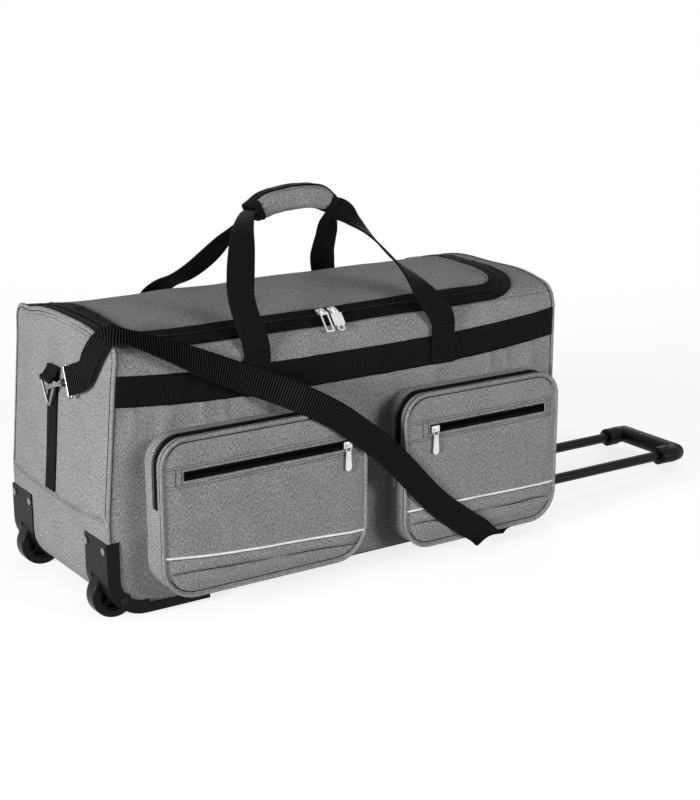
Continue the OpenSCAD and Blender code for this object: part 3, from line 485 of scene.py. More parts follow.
def s_at_y(y):
    """Where the top of the section reaches y."""
    keep = OUT[:, 1] >= SHOULDER_Z - 1e-6
    return float(np.interp(y, OUT[keep, 0], OUT_S[keep]))


def s_at_z(z):
    """Where the front of the section reaches z."""
    n = len(OUT) // 2 + 1
    return float(np.interp(z, OUT[:n, 1], OUT_S[:n]))


def left_x(z):
    """x of the wheel end's cloth: rounded at the floor, leaning in above the seam."""
    if z < UNDER_Z + CORNER_R:
        d = UNDER_Z + CORNER_R - z
        return -HALF_L + CORNER_R - rise(CORNER_R, d)
    return -HALF_L + END_LEAN * max(z - SEAM_Z, 0) / (CROWN_Z + 20 - SEAM_Z)


def right_x(z):
    """x of the trolley end's cloth."""
    if z < UNDER_Z + REAR_R:
        d = UNDER_Z + REAR_R - z
        return HALF_L - REAR_R + rise(REAR_R, d)
    return HALF_L


def end_x(side, z):
    """x of the bag's cloth at either end."""
    return right_x(z) if side > 0 else left_x(z)


S_EAR = float(np.interp(-CROWN_A - SHOULDER_R * 0.707, OUT[12:40, 0], OUT_S[12:40]))
S_MID = S_END / 2


def shape(x, s):
    """Where the bag's frame departs from its plain section: sharper corners, sagging ends."""
    at_left = math.exp(-max(x + HALF_L - END_LEAN, 0) / 55)
    at_right = math.exp(-max(HALF_L - x, 0) / 60)
    ear = hill(s - S_EAR, 17) + hill(s - S_END + S_EAR, 17)
    sag = hill(s - S_MID, 75)
    return 12 * ear * at_left + 2 * ear * at_right - 7 * sag * at_left - 11 * sag * at_right


def puff(x, s):
    """How far the cloth stands out of the frame's shape, in mm."""
    (y, z), _ = section(s)
    p = (x, y, z)
    ends = ease(0, 45, x - left_x(z)) * ease(0, 45, right_x(z) - x)
    inner = ease(0, 22, x - left_x(z)) * ease(0, 22, right_x(z) - x)
    high = ease(SHOULDER_Z - 6, SHOULDER_Z + 22, z)
    top = side = 0.0
    if high > 0:
        # Top: a slack crown with long shallow waves between the seams
        top = 1.6 * wobble(p, 95, 3.1) + 1.1 * wobble((x * 0.6, y, z), 38, 7.7)
        top += 1.5 * fold((x * 0.5 + y * 0.35, y, z), 60, 2.2) * bump((y + 150) / 300)
        top -= 2.2 * hill(y + 30, 70) * hill(x + 30, 150)
        top -= 3.5 * ease(-70, -125, y) * (1 - (x / HALF_L) ** 4)
    if high < 1:
        side = 1.3 * wobble(p, 80, 1.3) + 0.9 * wobble((x, y, z * 0.5), 30, 5.0)
        side += 2.6 * ease(60, 130, z) * (1 - ease(262, 285, z))
        # Soft creases that run down from the band and round the ends of the pockets
        side += 2.4 * fold((x, y, z * 0.3), 34, 9.3) * ease(50, 120, z)
        side -= 1.2 * fold((x + 0.4 * z, y, z * 0.6), 27, 4.1) * ease(150, 220, z)
        side *= 1 - 0.45 * ease(270, 300, z)
    return top * inner * high + side * ends * (1 - high)


def skin(x, s, off=0.0):
    """Point of the bag's cloth at x and s, off mm outside it."""
    (y, z), (ny, nz) = section(s)
    d = shape(x, s) + puff(x, s) + off
    return (x, y + ny * d, z + nz * d)


def rim_outline(side):
    """Outline of one end of the bag: rows of y, z."""
    pts = []
    for s in np.linspace(0, S_END, 400):
        (y, z), (ny, nz) = section(s)
        d = shape(end_x(side, z), s)
        pts.append((y + ny * d, z + nz * d))
    return np.array(pts)


RIM = {side: rim_outline(side) for side in (-1, 1)}


def along(s, inset=1.5):
    """Ends of the bag's cloth at s."""
    z = section(s)[0][1]
    return left_x(z) + inset, right_x(z) - inset


def skin_patch(s0, s1):
    """Sheet of the skin between s0 and s1 over its whole length."""
    def fn(u, s):
        a, b = along(s)
        return skin(a + (b - a) * u, s)
    return grid(fn, steps(150), span(s0, s1, 4.0), CLOTH_T)


S_LOW = s_at_z(15.5)
S_TOP = s_at_y(ZIP_Y - TAPE_W)


def beside_zip(y, side, d):
    """x at y on one side of the zip's run, d mm outside the middle of its chain."""
    r, cy = ZIP_R + d, ZIP_Y + ZIP_R
    edge = ZIP_X1 + d if side > 0 else ZIP_X0 - d
    if y >= cy:
        return edge
    return edge - side * r + side * rise(r, y - cy)


def surround_side(side):
    """Cloth between the zip's tape and one end."""
    def fn(u, y):
        s = s_at_y(y)
        lo, hi = along(s)
        edge = beside_zip(y, side, TAPE_W)
        a, b = (lo, edge) if side < 0 else (edge, hi)
        return skin(a + (b - a) * u, s)
    ys = span(ZIP_Y - TAPE_W, ZIP_Y + ZIP_R, 2.5) + span(ZIP_Y + ZIP_R, -ZIP_Y + TAPE_W, 5)[1:]
    return grid(fn, steps(16), ys, CLOTH_T)


def surround_back():
    """Cloth behind the lid's fold."""
    def fn(x, y):
        return skin(x, s_at_y(y))
    return grid(fn, span(ZIP_X0 - TAPE_W, ZIP_X1 + TAPE_W, 5),
                span(HINGE_Y + 0.6, -ZIP_Y + TAPE_W, 4), CLOTH_T)


add("front_side", skin_patch(S_LOW, S_TOP), GREY, replaces=["front_panel"])
add("back_side", skin_patch(S_END - S_TOP, S_END - S_LOW),
    GREY, replaces=["back_panel"])
add("top_rim", join([surround_side(-1), surround_side(1), surround_back()]),
    GREY, replaces=["top_surround"])


def lid_fn(u, y):
    lo, hi = (beside_zip(y, side, -TAPE_W) for side in (-1, 1))
    return skin(lo + (hi - lo) * u, s_at_y(y))


lid_ys = span(ZIP_Y + TAPE_W, ZIP_Y + ZIP_R, 2.5) + span(ZIP_Y + ZIP_R, HINGE_Y, 4.5)[1:]
add("lid", grid(lid_fn, steps(130), lid_ys, CLOTH_T),
    GREY, body="lid", replaces=["lid_panel"])


# -------- main zip

def zip_route():
    """Plan of the zip from the back on the wheel side round to the back on the other."""
    def corner(x, start):
        turn = [start + PI / 2 * i / 24 for i in range(1, 25)]
        return [((x + ZIP_R * math.cos(a), ZIP_Y + ZIP_R + ZIP_R * math.sin(a)),
                 (math.cos(a), math.sin(a))) for a in turn]
    x0, x1 = ZIP_X0 + ZIP_R, ZIP_X1 - ZIP_R
    pts = [((ZIP_X0, y), (-1, 0)) for y in span(HINGE_Y, ZIP_Y + ZIP_R, 3)]
    pts += corner(x0, PI)
    pts += [((x, ZIP_Y), (0, -1)) for x in span(x0, x1, 4)[1:]]
    pts += corner(x1, 1.5 * PI)
    return pts + [((ZIP_X1, y), (1, 0)) for y in span(ZIP_Y + ZIP_R, HINGE_Y, 3)[1:]]


ROUTE = zip_route()


def on_zip(i, d, off=0.0):
    """Point d mm outside the middle of the chain at station i."""
    (x, y), (nx, ny) = ROUTE[i]
    x, y = x + nx * d, y + ny * d
    return skin(x, s_at_y(y), off)


def zip_tape(d0, d1):
    """Half of the tape, folded a little down towards its chain."""
    ds = [d0 + (d1 - d0) * k / 6 for k in range(7)]

    def fn(i, d):
        dip = 1.0 * hill(abs(d) - 4.5, 3) - 0.9 * ease(11, 16, abs(d))
        return on_zip(int(i), d, 0.5 - dip)
    return grid(fn, list(range(len(ROUTE))), ds if d1 > d0 else ds[::-1], 0.9)


COIL_PITCH = 2.0


def coil(centres, across, side, size=1.0):
    """Teeth of one half of a zip's chain along centres; across: one direction, or one for each."""
    if isinstance(across, tuple):
        across = [np.array(across)] * len(centres)
    parts = []
    run, nxt = 0.0, (0.8 if side > 0 else 0.8 + COIL_PITCH / 2)
    for i in range(len(centres) - 1):
        seg = centres[i + 1] - centres[i]
        length = np.linalg.norm(seg)
        a = unit(seg)
        o = across[i] * side
        n = unit(np.cross(a, across[i]))
        while nxt <= run + length:
            c = centres[i] + a * (nxt - run) + o * 1.15 * size
            ring = [(-0.62, -0.5), (-0.45, 0.55), (0.45, 0.55), (0.62, -0.5)]
            v = []
            for d, k in ((-1.5, 0.75), (0, 1.0), (1.5, 0.75)):
                v += [tuple(c + (o * d + a * p * k + n * q * k) * size) for p, q in ring]
            f = [(j * 4 + e, j * 4 + (e + 1) % 4, j * 4 + 4 + (e + 1) % 4, j * 4 + 4 + e)
                 for j in range(2) for e in range(4)] + [(3, 2, 1, 0), (8, 9, 10, 11)]
            if side < 0:
                f = [tuple(reversed(q)) for q in f]
            parts.append((v, f, [(0, 0)] * 12))
            nxt += COIL_PITCH
        run += length
    return join(parts)


CHAIN = [np.array(on_zip(i, 0, 1.1)) for i in range(len(ROUTE))]
CHAIN_OUT = [unit(np.array(on_zip(i, 3, 1.1)) - CHAIN[i]) for i in range(len(ROUTE))]
add("zip_tape_outer", zip_tape(0.4, TAPE_W), TAPE, replaces=["surround_zip_tape"])
add("zip_tape_inner", zip_tape(-0.4, -TAPE_W),
    TAPE, body="lid", replaces=["lid_zip_tape"])
add("zip_coil_outer", coil(CHAIN, CHAIN_OUT, 1), COIL)
add("zip_coil_inner", coil(CHAIN, CHAIN_OUT, -1), COIL, body="lid")

# -------- ends


def top_z(y, side):
    """Height of the top edge of an end at y."""
    pts = RIM[side]
    keep = pts[:, 1] > SHOULDER_Z - 20
    return float(np.interp(y, pts[keep, 0], pts[keep, 1]))


def low_z(y):
    """Bottom of the section at y."""
    d = abs(y) - (HALF_D - EDGE_R)
    return UNDER_Z + EDGE_R - rise(EDGE_R, max(d, 0))


def end_y(u):
    """Across an end, closer together near its edges."""
    return (HALF_D - 1.2) * math.sin(u * PI / 2)


def end_puff(y, z, side):
    """How far the cloth of an end stands out; on the wheel end it is flat below the seam."""
    seed = END_SEED[side]
    edge = ease(0, 30, HALF_D - abs(y)) * ease(0, 30, top_z(y, side) - z)
    edge *= ease(SEAM_Z - 40, SEAM_Z, z) if side < 0 else ease(0, 40, z - UNDER_Z)
    return (1.6 * wobble((y, z, 0), 90, seed) + 0.8 * wobble((y, z * 0.5, 0), 34, seed + 4)
            + 1.5) * edge


def end_point(side, y, z, off):
    """Point of an end's cloth, off mm outside it."""
    return (end_x(side, z) + side * (end_puff(y, z, side) + off), y, z)


def end_seam_z(y):
    """Height of the seam across the wheel end, which sags in the middle."""
    return SEAM_Z + 5 - 8 * (1 - (y / HALF_D) ** 2)


def end_grid(side, z0, thick, off=0.0, to_seam=False):
    """Cloth of an end from z0 up to the crown, or to the wheel end's seam."""
    def fn(u, v):
        y = end_y(side * u)
        top = top_z(y, side)
        lo, hi = max(low_z(y), z0), min(top, end_seam_z(y)) if to_seam else top
        return end_point(side, y, lo + (hi - lo) * v, off)
    vs = [0.5 - 0.5 * math.cos(PI * v) for v in steps(60)]
    return grid(fn, [-1 + 2 * i / 70 for i in range(71)], vs, thick)


add("left_end", end_grid(-1, SEAM_Z - 12, CLOTH_T),
    GREY, replaces=["left_end_panel"])
add("left_end_lower", end_grid(-1, UNDER_Z + 3, 2.8, off=0.9, to_seam=True),
    GREY, replaces=["end_reinforcement"])
add("right_end", end_grid(1, UNDER_Z + 3, CLOTH_T),
    GREY, replaces=["right_end_panel"])


HOUSING_LO, HOUSING_HI = mm_box("back_wheel_housing")


def wheel_well_shade(side):
    """Black patch on the end cloth inside a wheel housing, painted shade in the wheel well."""
    ys = span(HOUSING_LO.y + 2.5, HOUSING_HI.y - 7, 5)
    zs = span(UNDER_Z + 6, HOUSING_HI.z - 3, 4)

    def fn(y, z):
        return (left_x(z) - 1.4, side * y, z)
    return grid(fn, ys if side < 0 else ys[::-1], zs, 0.6)


# Painted shade: black patches on the end cloth inside the wheel housings
add("wheel_well_shadows", join([wheel_well_shade(-1), wheel_well_shade(1)]), BOTTOM)


def dome(at, axis, r, h):
    """Rounded head at a point, h high along an axis."""
    axis = unit(np.array(axis, float))
    side = unit(np.cross(axis, (0.3, 0.9, 0.4)))
    up = np.cross(axis, side)
    v = []
    for k, c in ((1.0, -1.0), (1.0, 0.2), (0.8, 0.7), (0.4, 0.95)):
        v += [tuple(np.array(at) + axis * h * c + (side * math.cos(a) + up * math.sin(a)) * r * k)
              for a in (2 * PI * j / 12 for j in range(12))]
    f = [(i * 12 + j, i * 12 + (j + 1) % 12, i * 12 + 12 + (j + 1) % 12, i * 12 + 12 + j)
         for i in range(3) for j in range(12)]
    f += [tuple(reversed(range(12))), tuple(range(36, 48))]
    return v, f, [(0, 0)] * 48


STUDS = [(65, 58), (-58, 53)]
studs = [dome((left_x(z) - 0.9, y, z), (-1, 0, 0), 2.6, 1.5) for y, z in STUDS]
add("end_studs", join(studs), NICKEL)


def bottom_grid():
    """Floor of the bag, with its edges turned up at the front and back."""
    ys = span(-HALF_D + EDGE_R, HALF_D - EDGE_R, 20)

    def fn(u, k):
        k = int(k)
        if k < 5:
            s = S_LOW + 1 - (S_LOW + 1) * k / 5
            (y, z), _ = section(max(s, 0))
        elif k < 5 + len(ys):
            y, z = ys[k - 5], UNDER_Z
        else:
            s = (S_LOW + 1) * (k - 4 - len(ys)) / 5
            (y, z), _ = section(min(s, S_LOW + 1))
            y = -y
        a, b = left_x(UNDER_Z) - 0.5, right_x(UNDER_Z) + 0.5
        return (a + (b - a) * u, y, z)
    rows = list(range(5 + len(ys) + 5))
    return grid(fn, steps(60), rows[::-1], CLOTH_T)


add("bottom", bottom_grid(), BOTTOM, replaces=["bottom_panel"])


def end_edge(side, inset, sink=0.8):
    """Outline of an end from the front bottom over the top to the back bottom."""
    pts, nrm = [], []
    for s in span(6, S_END - 6, 4):
        (y, z), (ny, nz) = section(s)
        x = end_x(side, z)
        d = shape(x, s) - sink
        pts.append((x - side * inset, y + ny * d, z + nz * d))
        nrm.append((side * 0.3, ny, nz))
    return pts, nrm


parts = []
for side in (-1, 1):
    pts, nrm = end_edge(side, 1.8)
    parts.append(sweep(pts, circle(2.9, 10), nrm))
add("end_piping_cord", join(parts), GREY_SOLID, replaces=["end_piping"])

# Edge piping of the lid beside its tape
path = [on_zip(i, -TAPE_W - 0.6, 0.7) for i in range(len(ROUTE))]
add("lid_edge", sweep(path, circle(1.3, 8), (0, 0, 1)),
    GREY, body="lid")

# Stitches of the ends, and painted shadow lines at both edges of their piping
parts, piping_shadows = [], []
for dz in (2.5, 6.0):
    path = [end_point(-1, y, end_seam_z(y) - dz, 1.3) for y in span(-HALF_D + 4, HALF_D - 4, 5)]
    parts.append(stitch_line(path, (-1, 0, 0)))
for side in (-1, 1):
    hem = [end_point(side, y, top_z(y, side) - 8, 0.1) for y in span(-HALF_D + 14, HALF_D - 14, 5)]
    parts.append(stitch_line(hem, (side, 0, 0.2)))
    # Painted shadow: thin dark cords at both edges of each end's piping
    pts, nrm = end_edge(side, 4.6, -0.1)
    piping_shadows.append(sweep(pts, circle(0.7, 6), nrm))
    pts, nrm = end_edge(side, -0.4, 3.6)
    piping_shadows.append(sweep(pts, circle(0.6, 6), nrm))
add("end_stitches_and_shadows", join(parts), THREAD_GREY)
add("end_piping_shadows", join(piping_shadows), SEAM_SHADOW)

# -------- bands

BAND_T = 1.8


def droop(x):
    """How far the webbing sags below its level ends."""
    return 16 * (1 - min(abs(x) / HALF_L, 1) ** 3)


def band(s0, s1, side):
    """Webbing right along the front or back, sagging between its ends."""
    def fn(u, s):
        a, b = along(s, 4.5)
        x = a + (b - a) * u
        wave = 0.5 * wobble((u * 700, 0, s), 60, 4.4)
        return skin(x, s + side * droop(x), BAND_T + 0.3 + wave * 0.4)
    return grid(fn, steps(150), span(s0, s1, 4), BAND_T)


sa, sb = s_at_z(BAND_Z0), s_at_z(BAND_Z1)
v, f, t = join([band(sa, sb, -1), band(S_END - sb, S_END - sa, 1)])
add("bands", (v, f, [(b, a) for a, b in t]), WEBBING, replaces=["body_bands"])

# -------- front pockets

RIM_OUT = 1.5
POCKET_R = 35
WINDOW_H = 14
BAND_IN, BAND_OUT = 12, 32
GUSSET_ZIP_Z = 150
FRONT_Y = -HALF_D


class Pocket:
    """Soft box on the front with a zipped window, and a zip round the upper part of its gusset."""

    def __init__(self, node, window, seed, crease, pull_x, lift, low_r):
        """Window: its two ends in x, and its z. Crease: its z at the left, and its rise."""
        lo, hi = mm_box(node)
        self.x0, self.x1 = lo.x + RIM_OUT, hi.x - RIM_OUT
        self.z0, self.z1 = lo.z + RIM_OUT + lift, hi.z - RIM_OUT
        self.low_r = low_r
        self.face = lo.y + RIM_OUT
        self.window, self.seed, self.crease, self.pull_x = window, seed, crease, pull_x

    def radius(self, z):
        """Corner radius of the half that z is in."""
        return self.low_r if z < (self.z0 + self.z1) / 2 else POCKET_R

    def inset(self, z):
        r = self.radius(z)
        d = max(self.z0 + r - z, z - self.z1 + r, 0)
        return r - rise(r, d)

    def depth(self, x, z):
        """Distance in from the rim."""
        r = self.radius(z)
        qx = abs(x - (self.x0 + self.x1) / 2) - ((self.x1 - self.x0) / 2 - r)
        qz = abs(z - (self.z0 + self.z1) / 2) - ((self.z1 - self.z0) / 2 - r)
        return r - math.hypot(max(qx, 0), max(qz, 0)) - min(max(qx, qz), 0)

    def crease_z(self, x):
        """Height of the tuck that runs across the face below the piping."""
        level = self.crease[0] + (x - self.x0) / (self.x1 - self.x0) * self.crease[1]
        return level + 1.6 * wobble((x, 0, 0), 40, self.seed)

    def out(self, x, z):
        """How far the face stands out of the rim's plane."""
        d = self.depth(x, z)
        wz = self.window[2]
        near = hill(z - wz, 16)
        pull = hill(x - self.pull_x, 14) * ease(140, 165, z)
        puffed = 2.6 * (1 - math.exp(-max(d - 3, 0) / 22)) * (1 - 0.8 * near) * (1 - 0.8 * pull)
        wave = 1.0 * wobble((x, z, 0), 55, self.seed) + 0.7 * fold((x, z * 0.6, 0), 46, self.seed)
        puffed += wave * ease(3, 24, d) * (1 - 0.85 * near) * (1 - 0.85 * pull)
        zc = self.crease_z(x)
        dip = hill(z - zc, 2.2) - 0.7 * hill(z - zc - 8, 6)
        low = hill(z - zc + 12, 9)
        puffed -= (3.4 * dip - 2.0 * low) * ease(4, 20, d)
        flat = abs(z - wz) < 12
        puffed += 0.5 if flat else 0.5 * hill(abs(z - wz) - 12, 0.9)
        return puffed - 1.2 * hill(d - 4.6, 1.3)

    def at(self, x, z, off=0.0):
        return (x, self.face - self.out(x, z) - off, z)

    def outline(self, step=4.0, d=0.0):
        """Rim from above the lower right corner all the way round: (x, z, normal x, normal z)."""
        pts = []
        hi, lo = POCKET_R, self.low_r
        corners = [(self.x1 - lo, self.z0 + lo, -90, lo - d), (self.x1 - hi, self.z1 - hi, 0, hi - d),
                   (self.x0 + hi, self.z1 - hi, 90, hi - d), (self.x0 + lo, self.z0 + lo, 180, lo - d)]
        for k, (cx, cz, a0, r) in enumerate(corners):
            for i in range(13):
                a = math.radians(a0 + 90 * i / 12)
                pts.append((cx + r * math.cos(a), cz + r * math.sin(a), math.cos(a), math.sin(a)))
            next_x, next_z, _, next_r = corners[(k + 1) % 4]
            a = math.radians(a0 + 90)
            p, q = pts[-1], (next_x + next_r * math.cos(a), next_z + next_r * math.sin(a))
            n = max(1, round(math.dist(p[:2], q) / step))
            pts += [(p[0] + (q[0] - p[0]) * i / n, p[1] + (q[1] - p[1]) * i / n,
                     math.cos(a), math.sin(a)) for i in range(1, n)]
        return pts

    def cord(self, points, r, off, n=6, flat=1.0, closed=False):
        """Round cord on the face along (x, z) points."""
        path = [self.at(x, z, off) for x, z in points]
        return sweep(path, circle(r, n, flat), (0, -1, 0), closed)

    def build_face(self):
        wx0, wx1, wz = self.window
        us = span(0, 1, 3.2 / (self.x1 - self.x0))
        cuts = [(x - self.x0) / (self.x1 - self.x0) for x in (wx0, wx1)]
        us = sorted([u for u in us if all(abs(u - c) > 0.004 for c in cuts)] + cuts)
        turn = [1 - math.cos(PI / 2 * i / 16) for i in range(17)]
        zs = [self.z0 + self.low_r * k for k in turn]
        zs += span(zs[-1], self.z1 - POCKET_R, 2.4)[1:]
        low, top = sorted((self.crease[0], self.crease[0] + self.crease[1]))
        zs = [z for z in zs if not low - 6 < z < top + 6] + span(low - 5, top + 5, 1.1)
        zs += [self.z1 - POCKET_R * k for k in reversed(turn)][1:]
        cuts = (wz - WINDOW_H / 2, wz + WINDOW_H / 2)
        zs = sorted([z for z in zs if all(abs(z - c) > 1.4 for c in cuts)] + list(cuts))

        def fn(u, z):
            a, b = self.x0 + self.inset(z), self.x1 - self.inset(z)
            return self.at(a + (b - a) * u, z)

        def hole(u, z):
            return wx0 < self.x0 + (self.x1 - self.x0) * u < wx1 and cuts[0] < z < cuts[1]
        return grid(fn, us, zs, 2.0, hole)

    def build_wall(self):
        rim = self.outline()
        rim.append(rim[0])

        def fn(i, y):
            x, z, nx, nz = rim[int(i)]
            t = (y - self.face) / (FRONT_Y - self.face)
            out = 1.6 * math.sin(PI * min(max((t - 0.4) / 0.6, 0), 1))
            out += 0.8 * wobble((x, y * 2, z), 26, self.seed + 1) * ease(0.5, 0.7, t) * (1 - t)
            # Seam between the zip's strip and the wall behind it
            out -= 0.9 * hill(y - self.face - BAND_OUT - 2, 1.2)
            return (x + nx * out, y, z + nz * out)
        ys = span(FRONT_Y + 1, self.face, 2)
        return grid(fn, list(range(len(rim))), ys, 2.0)

    def gusset(self):
        """Stations of the rim that the gusset's zip runs along."""
        return [q for q in self.outline() if q[1] > GUSSET_ZIP_Z]

    def build_band(self):
        rim = self.gusset()

        def fn(i, y):
            x, z, nx, nz = rim[int(i)]
            t = (y - self.face - BAND_IN) / (BAND_OUT - BAND_IN)
            out = 1.0 - 0.8 * hill(t - 0.5, 0.16)
            return (x + nx * out, y, z + nz * out)
        return grid(fn, list(range(len(rim))), span(self.face + BAND_OUT, self.face + BAND_IN, 1.6), 0.8)

    def build_chain(self):
        rim = self.gusset()
        mid = self.face + (BAND_IN + BAND_OUT) / 2
        pts = [np.array((x + nx * 0.9, mid, z + nz * 0.9)) for x, z, nx, nz in rim]
        return join([coil(pts, (0, -1.0, 0), side, 0.9) for side in (1, -1)])

    def build_window(self):
        wx0, wx1, wz = self.window

        def tape(x, z):
            fold_in = 0.7 * hill(abs(z - wz), 2.5)
            return (x, self.face + 1.7 + fold_in, z)
        parts = [grid(tape, span(wx0 - 2, wx1 + 2, 8), span(wz - 9, wz + 9, 1), 0.7)]
        pts = [np.array((x, self.face + 1.1, wz)) for x in span(wx0, wx1, 10)]
        parts += [coil(pts, (0, 0, 1.0), side, 0.9) for side in (1, -1)]
        return join(parts)

    def build_trim(self):
        """Piped rim and the rolled edges of the window."""
        rim = self.outline(3)
        path = [(x + nx * 0.2, self.face - 0.3, z + nz * 0.2) for x, z, nx, nz in rim]
        ups = [(nx, 0, nz) for _, _, nx, nz in rim]
        parts = [sweep(path, circle(2.4, 10), ups, closed=True)]
        wx0, wx1, wz = self.window
        for side in (-1, 1):
            z = wz + side * (WINDOW_H / 2 + 0.2)
            parts.append(self.cord([(x, z) for x in span(wx0 - 3, wx1 + 3, 6)], 0.95, -0.2, 8))
        return join(parts)

    def build_stitches_and_shadows(self):
        """Rows of stitches above and below the window, short dark cords at its ends, and painted shadow:
        dark cords in the groove inside the rim, between the rim and the wall, and along the crease.
        """
        # Painted shade: a dark cord in the groove inside the rim
        parts = [self.cord([q[:2] for q in self.outline(3, 4.6)], 1.0, -0.1, closed=True)]
        # Painted shade: a dark cord between the rim and the wall behind it
        path = [(x + nx * 1.0, self.face + 3.0, z + nz * 1.0) for x, z, nx, nz in self.outline(3)]
        parts.append(sweep(path, circle(0.9, 6), (0, -1, 0), closed=True))
        wx0, wx1, wz = self.window
        for dz in (-14.2, -10.8, 10.8, 14.2):
            path = [self.at(x, wz + dz) for x in span(self.x0 + 5.5, self.x1 - 5.5, 4)]
            parts.append(stitch_line(path, (0, -1, 0), 3.4, 2.5, 0.45, 0.1))
        for x in (wx0 - 3, wx1 + 3, wx0 - 12, wx1 + 9):
            parts.append(self.cord([(x, z) for z in span(wz - 10.5, wz + 10.5, 2)], 0.5, -0.15))
        # Painted shadow along the crease's two stretches, each thin at its ends
        for a, b in ((0.04, 0.52), (0.58, 0.97)):
            xs = span(self.x0 + (self.x1 - self.x0) * a, self.x0 + (self.x1 - self.x0) * b, 4)
            path = [self.at(x, self.crease_z(x), 0.1) for x in xs]
            n = len(path) - 1
            rings = [circle(0.15 + 0.75 * bump(i / n) ** 0.25, 6) for i in range(n + 1)]
            parts.append(sweep(path, rings, (0, -1, 0)))
        return join(parts)

    def build_piping(self, a, b, sag):
        """White cord across the face from (x, z) to (x, z), and a thin dark cord below it, a painted
        shadow of the white one.
        """
        w, h = b[0] - a[0], b[1] - a[1]
        pts = spline([(a[0] + 2, a[1]), (a[0] + w * 0.3, a[1] + h * 0.3 - sag),
                      (a[0] + w * 0.7, a[1] + h * 0.7 - sag * 0.4), (b[0] - 2, b[1])], 24)
        # The second, dark cord is painted shadow below the white cord
        return (self.cord(pts, 1.7, 0.5, 10, 0.9),
                self.cord([(x, z - 2.2) for x, z in pts], 0.6, -0.1))


left_pocket = Pocket("left_pocket", window=(-274, -22, 197), seed=3.3, crease=(70, -16),
                     pull_x=-30, lift=16, low_r=46)
right_pocket = Pocket("right_pocket", window=(106, 310, 195), seed=8.1, crease=(62, -4),
                      pull_x=114, lift=0, low_r=42)
piping = []
for name, pocket, ends, sag in (("left_pocket", left_pocket, ((-305, 93), (0, 72)), 2.5),
                                ("right_pocket", right_pocket, ((66, 83), (331, 80)), -1.5)):
    add(name + "_face", pocket.build_face(), GREY, replaces=[name])
    add(name + "_wall", pocket.build_wall(), GREY)
    add(name + "_trim", pocket.build_trim(), GREY_SOLID)
    cord, shade = pocket.build_piping(*ends, sag)
    piping.append(cord)
    # One dark piece: the stitches, and the painted shadow lines of rim, crease and piping
    add(name + "_stitches_and_shadows", join([pocket.build_stitches_and_shadows(), shade]), SEAM_SHADOW)
add("window_zips", join([q.build_window() for q in (left_pocket, right_pocket)]),
    TAPE, replaces=["pocket_front_zips"])
add("gusset_zips", join([q.build_band() for q in (left_pocket, right_pocket)]),
    TAPE, replaces=["pocket_gusset_zips"])
add("gusset_coils", join([q.build_chain() for q in (left_pocket, right_pocket)]), COIL)
add("white_piping", join(piping), REFLECT, replaces=["reflective_piping"])

# -------- webbing


def ribbon(route, t, pitch=2.2, rib=2.2, depth=0.16, scallop=0.3, bow=0.0, n=8):
    """Webbing t thick along a route of (x, y, z, direction of its width, width),
    with ribs across it."""
    dense = np.array(spline(route, 14))
    run = lengths(dense[:, :3])
    count = int(run[-1] / pitch) + 1
    at = np.linspace(0, run[-1], count)
    rows = np.array([np.interp(at, run, dense[:, k]) for k in range(7)]).T
    tangent = np.gradient(rows[:, :3], axis=0)
    ups, sections = [], []
    for i, row in enumerate(rows):
        ups.append(np.cross(row[3:6], unit(tangent[i])))
        wave = -math.cos(2 * PI * at[i] / rib)
        sections.append(strip(row[6] + scallop * wave, t + depth * wave, bow, n))
    return sweep(rows[:, :3], sections, ups)


# Routes of the carry handles, each row as ribbon takes it; FLAT is their width where they lie flat
FLAT, HANDLE_T = 40, 2.5
LEGS_FRONT = [
    (-141, -151, 328.6, 1, 0, 0, FLAT), (-141.5, -151, 334, 1, 0, 0, FLAT),
    (-145, -150, 350, 1, 0, 0, FLAT), (-151, -142, 376, 1, 0, 0, FLAT),
    (-152, -131, 403, 1, 0, 0, FLAT), (-143, -116, 430, 1, -0.05, 0, 39),
    (-128, -94, 456, 1, -0.15, 0, 35), (-108, -64, 476, 0.9, -0.4, 0, 28),
    (-84, -32, 486, 0.5, -0.85, 0.1, 24), (-58, -8, 486, 0, -1, 0, 23),
    (-25, -4, 489, 0, -1, 0, 22), (25, -4, 489, 0, -1, 0, 22), (52, -6, 488, 0, -0.95, -0.2, 24),
    (72, -16, 480, 0, -0.5, -0.85, 30), (84, -36, 463, -0.22, -0.78, -0.5, 35),
    (98, -64, 441, -0.52, -0.8, 0.1, 37), (111, -92, 417, -0.66, -0.65, 0.38, 38),
    (123, -116, 397, -0.85, -0.48, 0.22, 39), (136, -137, 371, -1, -0.12, 0, FLAT),
    (149, -149, 348, -1, 0, 0, FLAT), (156, -151, 335, -1, 0, 0, FLAT),
    (157, -151, 328.6, -1, 0, 0, FLAT),
]
